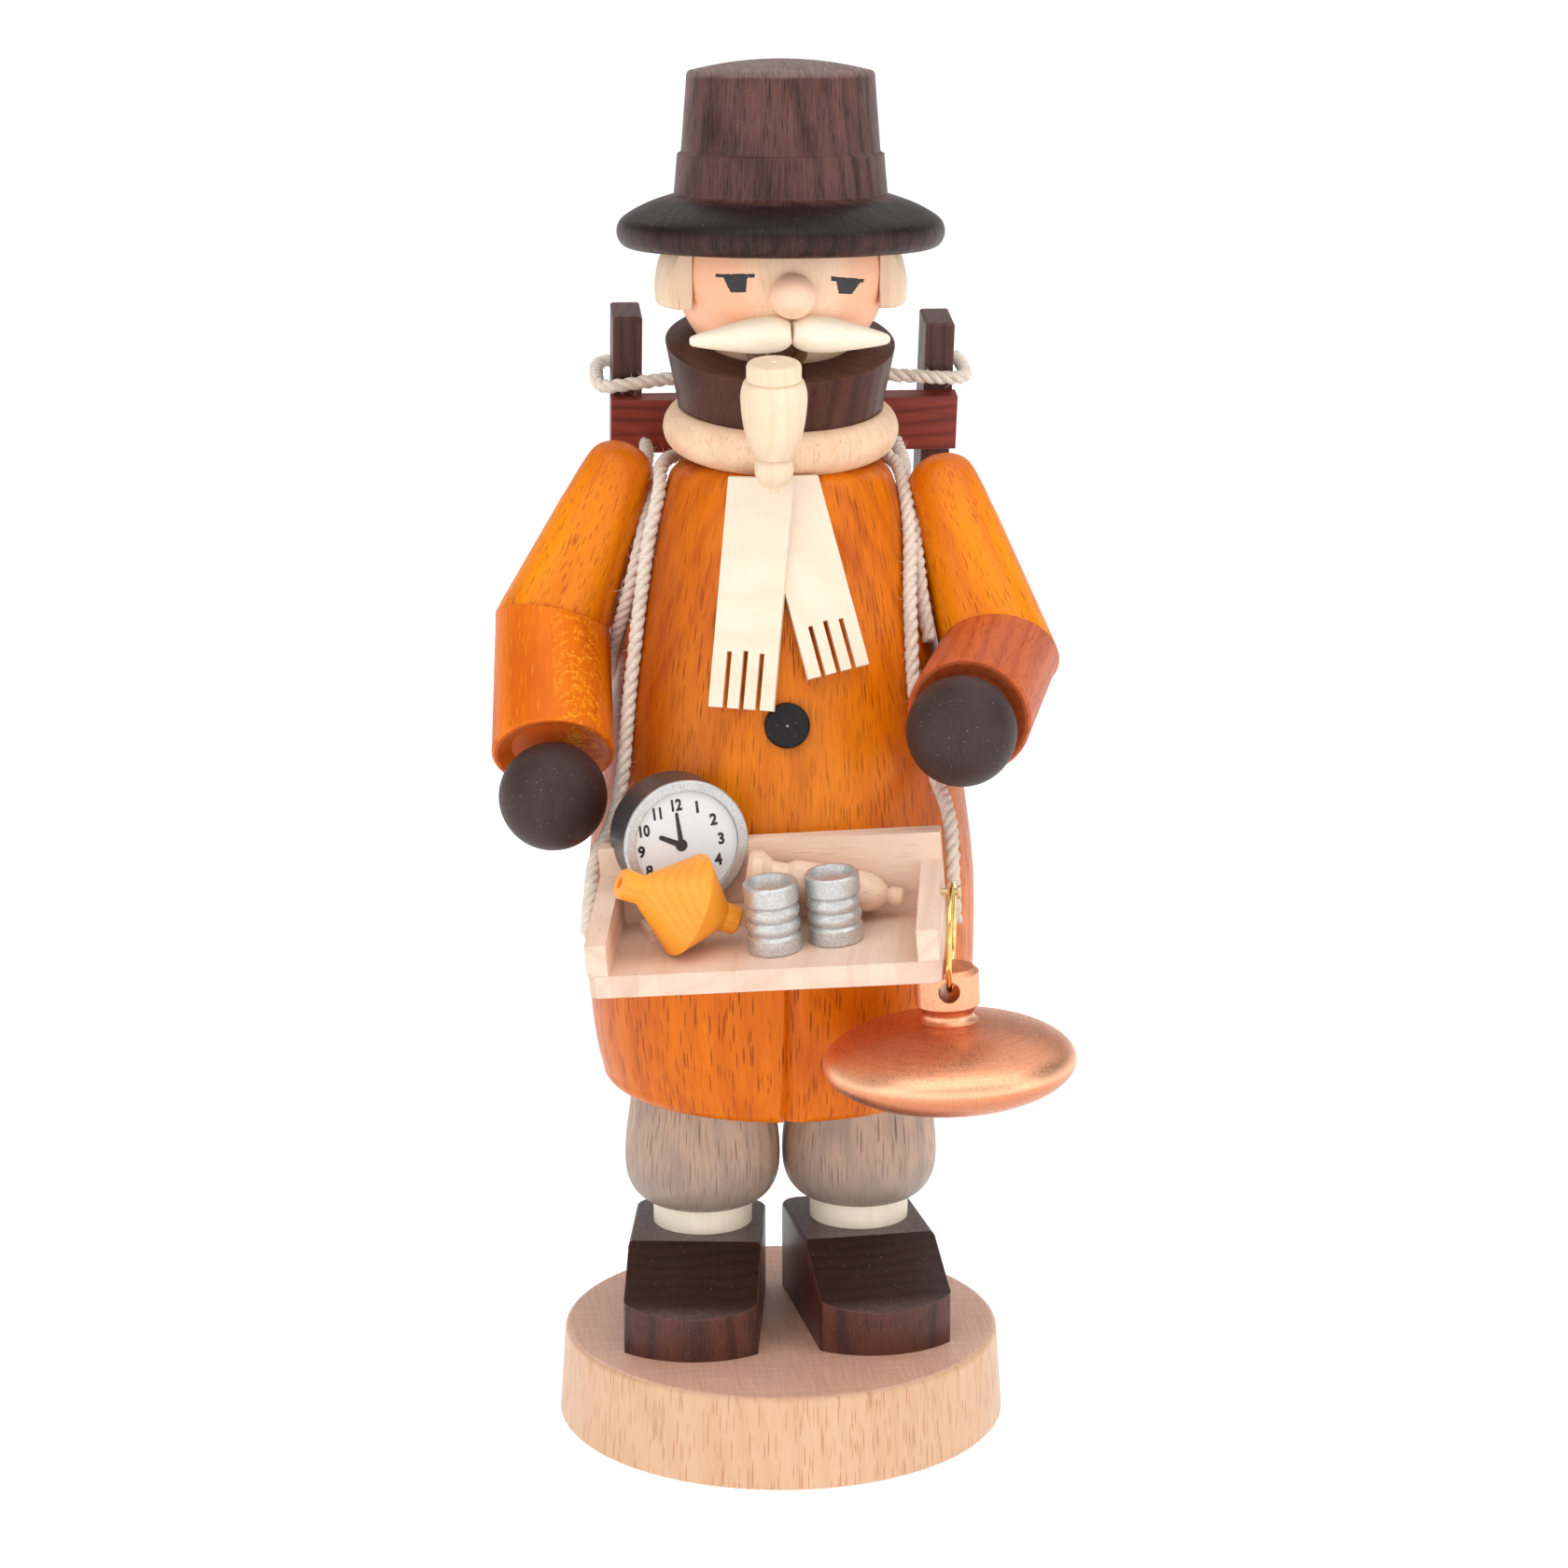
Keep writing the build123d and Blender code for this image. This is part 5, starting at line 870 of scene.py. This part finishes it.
def patch(bm, corners, nu, nv, wobble):
    """A thin painted patch on the head ball between four corners given as longitude and latitude."""
    rnd = random.Random(len(bm.verts) + 5)
    grid = []
    for j in range(nv + 1):
        row = []
        for i in range(nu + 1):
            u, v = i / nu, j / nv
            top = [corners[0][k] * (1 - u) + corners[1][k] * u for k in (0, 1)]
            low = [corners[3][k] * (1 - u) + corners[2][k] * u for k in (0, 1)]
            lon, lat = top[0] * (1 - v) + low[0] * v, top[1] * (1 - v) + low[1] * v
            rim = i in (0, nu) or j in (0, nv)
            if rim:
                lon += rnd.uniform(-wobble, wobble)
                lat += rnd.uniform(-wobble, wobble)
            row.append(bm.verts.new((on_head(lon, lat, 16.60 + (0.015 if rim else 0.05)) + FOOT) * MM))
        grid.append(row)
    mid = (HEAD_C + FOOT) * MM
    under = [[bm.verts.new(mid + (v.co - mid).normalized() * 16.50 * MM) for v in row] for row in grid]
    for j in range(nv):
        for i in range(nu):
            f = bm.faces.new((grid[j][i], grid[j][i + 1], grid[j + 1][i + 1], grid[j + 1][i]))
            f.smooth = True
            bm.faces.new((under[j][i], under[j + 1][i], under[j + 1][i + 1], under[j][i + 1]))
    for i in range(nu):
        bm.faces.new((grid[0][i], under[0][i], under[0][i + 1], grid[0][i + 1]))
        bm.faces.new((grid[nv][i], grid[nv][i + 1], under[nv][i + 1], under[nv][i]))
    for j in range(nv):
        bm.faces.new((grid[j][0], grid[j + 1][0], under[j + 1][0], under[j][0]))
        bm.faces.new((grid[j][nu], under[j][nu], under[j + 1][nu], grid[j + 1][nu]))


EYES = {
    "eye_right": [[(-42.82, 0.57), (-19.57, 1.5), (-19.72, -0.54), (-42.16, -1.15)],
                  [(-37.68, -0.84), (-23.58, -0.14), (-24.70, -8.35), (-33.60, -8.60)]],
    "eye_left": [[(21.4, -0.27), (44.38, -2.87), (43.77, -4.8), (21.77, -2.72)],
                 [(24.42, -2.2), (41.46, -4.35), (35.52, -10.35), (26.6, -9.46)]],
}
for eye, shapes in EYES.items():
    bm = bmesh.new()
    for n, corners in enumerate(shapes):
        patch(bm, corners, 26, 5 if n == 0 else 14, 0.16)
    bmesh.ops.recalc_face_normals(bm, faces=bm.faces)
    me = bpy.data.meshes.new(eye)
    bm.to_mesh(me)
    bm.free()
    me.materials.append(INK)
    o = bpy.data.objects.new(eye, me)
    bpy.context.scene.collection.objects.link(o)
    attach(o, "figure")


# ------------------------------------------------------------------ clock face

DIAL_O = CLOCK_F - CLOCK_N * 0.6 - CLOCK_X * 0.75 - CLOCK_Y * 0.15 + FOOT


def dial_pt(x, y, h):
    return DIAL_O + CLOCK_X * x + CLOCK_Y * y + CLOCK_N * h


def numerals():
    bm_all = bmesh.new()
    for n in range(1, 13):
        c = bpy.data.curves.new("numeral", "FONT")
        c.body = str(n)
        c.size = 2.6
        c.extrude = 0.0
        c.offset = 0.10
        c.resolution_u = 5
        o = bpy.data.objects.new("numeral", c)
        bpy.context.scene.collection.objects.link(o)
        bpy.context.view_layer.update()
        dg = bpy.context.evaluated_depsgraph_get()
        me = bpy.data.meshes.new_from_object(o.evaluated_get(dg))
        xs = [v.co.x for v in me.vertices]
        ys = [v.co.y for v in me.vertices]
        cx, cy = (min(xs) + max(xs)) / 2, (min(ys) + max(ys)) / 2
        k = 1.85 / (max(ys) - min(ys))
        squeeze = 0.80 if n >= 10 else 0.92
        a = math.radians(90 - 30 * n)
        px, py = 6.22 * math.cos(a), 6.22 * math.sin(a)
        bm = bmesh.new()
        bm.from_mesh(me)
        for v in bm.verts:
            v.co = Vector((px + (v.co.x - cx) * k * squeeze, py + (v.co.y - cy) * k, 0.0))
        faces = list(bm.faces)
        ret = bmesh.ops.extrude_face_region(bm, geom=faces)
        for v in (g for g in ret["geom"] if isinstance(g, bmesh.types.BMVert)):
            v.co.z = 0.035
        for v in bm.verts:
            if v.co.z < 0.01:
                v.co.z = -0.03
            v.co = dial_pt(v.co.x, v.co.y, v.co.z) * MM
        tmp = bpy.data.meshes.new("numeral_part")
        bm.to_mesh(tmp)
        bm.free()
        bm_all.from_mesh(tmp)
        bpy.data.meshes.remove(tmp)
        bpy.data.meshes.remove(me)
        bpy.data.objects.remove(o)
        bpy.data.curves.remove(c)
    bmesh.ops.recalc_face_normals(bm_all, faces=bm_all.faces)
    me = bpy.data.meshes.new("dial_numerals")
    bm_all.to_mesh(me)
    bm_all.free()
    return me


def hands():
    bm = bmesh.new()

    def plate(outline, h):
        low = [bm.verts.new(dial_pt(x, y, -0.03) * MM) for x, y in outline]
        top = [bm.verts.new(dial_pt(x, y, h) * MM) for x, y in outline]
        bm.faces.new(top)
        bm.faces.new(list(reversed(low)))
        for i in range(len(outline)):
            j = (i + 1) % len(outline)
            bm.faces.new((low[i], low[j], top[j], top[i]))

    def hand(angle, length, w0, w1, h):
        a = math.radians(angle)
        d, n = (math.cos(a), math.sin(a)), (-math.sin(a), math.cos(a))
        pts = [(-n[0] * w0, -n[1] * w0)]
        for k in range(9):
            b = -math.pi / 2 + math.pi * k / 8
            s, c = math.sin(b), math.cos(b)
            r = length - w1 + w1 * c
            pts.append((d[0] * r + n[0] * w1 * s, d[1] * r + n[1] * w1 * s))
        pts.append((n[0] * w0, n[1] * w0))
        plate(pts, h)

    hand(92.0, 5.1, 0.42, 0.24, 0.05)
    hand(151.0, 3.75, 0.46, 0.36, 0.06)
    plate([(0.92 * math.cos(2 * math.pi * k / 32), 0.92 * math.sin(2 * math.pi * k / 32)) for k in range(32)], 0.08)
    bmesh.ops.recalc_face_normals(bm, faces=bm.faces)
    me = bpy.data.meshes.new("dial_hands")
    bm.to_mesh(me)
    bm.free()
    return me


for me, nm in ((numerals(), "dial_numerals"), (hands(), "dial_hands")):
    me.materials.append(INK)
    o = bpy.data.objects.new(nm, me)
    bpy.context.scene.collection.objects.link(o)
    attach(o, "figure")


# ------------------------------------------------------------------ stage and light

def floor():
    bm = bmesh.new()
    bmesh.ops.create_circle(bm, cap_ends=True, radius=50.0, segments=128)
    me = bpy.data.meshes.new("floor")
    bm.to_mesh(me)
    bm.free()
    o = bpy.data.objects.new("floor", me)
    bpy.context.scene.collection.objects.link(o)
    o.location.z = -0.00005
    g = Graph("pale_floor")
    g.set(Base_Color=(0.35, 0.35, 0.35), Roughness=0.9, Specular_IOR_Level=0.1,
          Emission_Color=(1.0, 1.0, 1.0), Emission_Strength=0.95)
    me.materials.append(g.mat)


floor()

world = bpy.data.worlds.new("studio")
bpy.context.scene.world = world
world.use_nodes = True
wt = world.node_tree
wt.nodes.clear()
wo = wt.nodes.new("ShaderNodeOutputWorld")
bg = wt.nodes.new("ShaderNodeBackground")
wt.links.new(bg.outputs[0], wo.inputs[0])
tc = wt.nodes.new("ShaderNodeTexCoord")
sx = wt.nodes.new("ShaderNodeSeparateXYZ")
wt.links.new(tc.outputs["Generated"], sx.inputs[0])
mr = wt.nodes.new("ShaderNodeMapRange")
mr.interpolation_type = "SMOOTHSTEP"
wt.links.new(sx.outputs[2], mr.inputs["Value"])
mr.inputs["From Min"].default_value = 0.05
mr.inputs["From Max"].default_value = 0.36
mr.inputs["To Min"].default_value = 1.0
mr.inputs["To Max"].default_value = 0.22
wt.links.new(mr.outputs["Result"], bg.inputs["Strength"])
bg.inputs["Color"].default_value = (1.0, 1.0, 1.0, 1.0)


def softbox(name, place, target, w, h, power, colour=(1.0, 1.0, 1.0)):
    l = bpy.data.lights.new(name, "AREA")
    l.shape = "RECTANGLE"
    l.size, l.size_y = w, h
    l.energy = power
    l.color = colour
    o = bpy.data.objects.new(name, l)
    bpy.context.scene.collection.objects.link(o)
    o.location = place
    d = Vector(target) - Vector(place)
    o.rotation_mode = "QUATERNION"
    o.rotation_quaternion = d.to_track_quat("-Z", "Y")
    return o


softbox("top_front", (0.06, -0.45, 1.15), (0, -0.02, 0.10), 2.2, 0.95, 12.5)
softbox("side_left", (-1.05, -0.60, 0.50), (0, 0, 0.11), 0.6, 0.9, 2.3)
softbox("side_right", (1.05, -0.60, 0.45), (0, 0, 0.11), 0.6, 0.9, 2.2)
softbox("front_fill", (-0.08, -1.35, 0.50), (0, 0, 0.11), 2.4, 0.9, 5.2)
softbox("top_back", (0.15, 0.70, 1.15), (0.02, 0.02, 0.10), 2.2, 1.2, 7.0)

bpy.context.scene.view_settings.view_transform = "Standard"
bpy.context.scene.view_settings.look = "None"
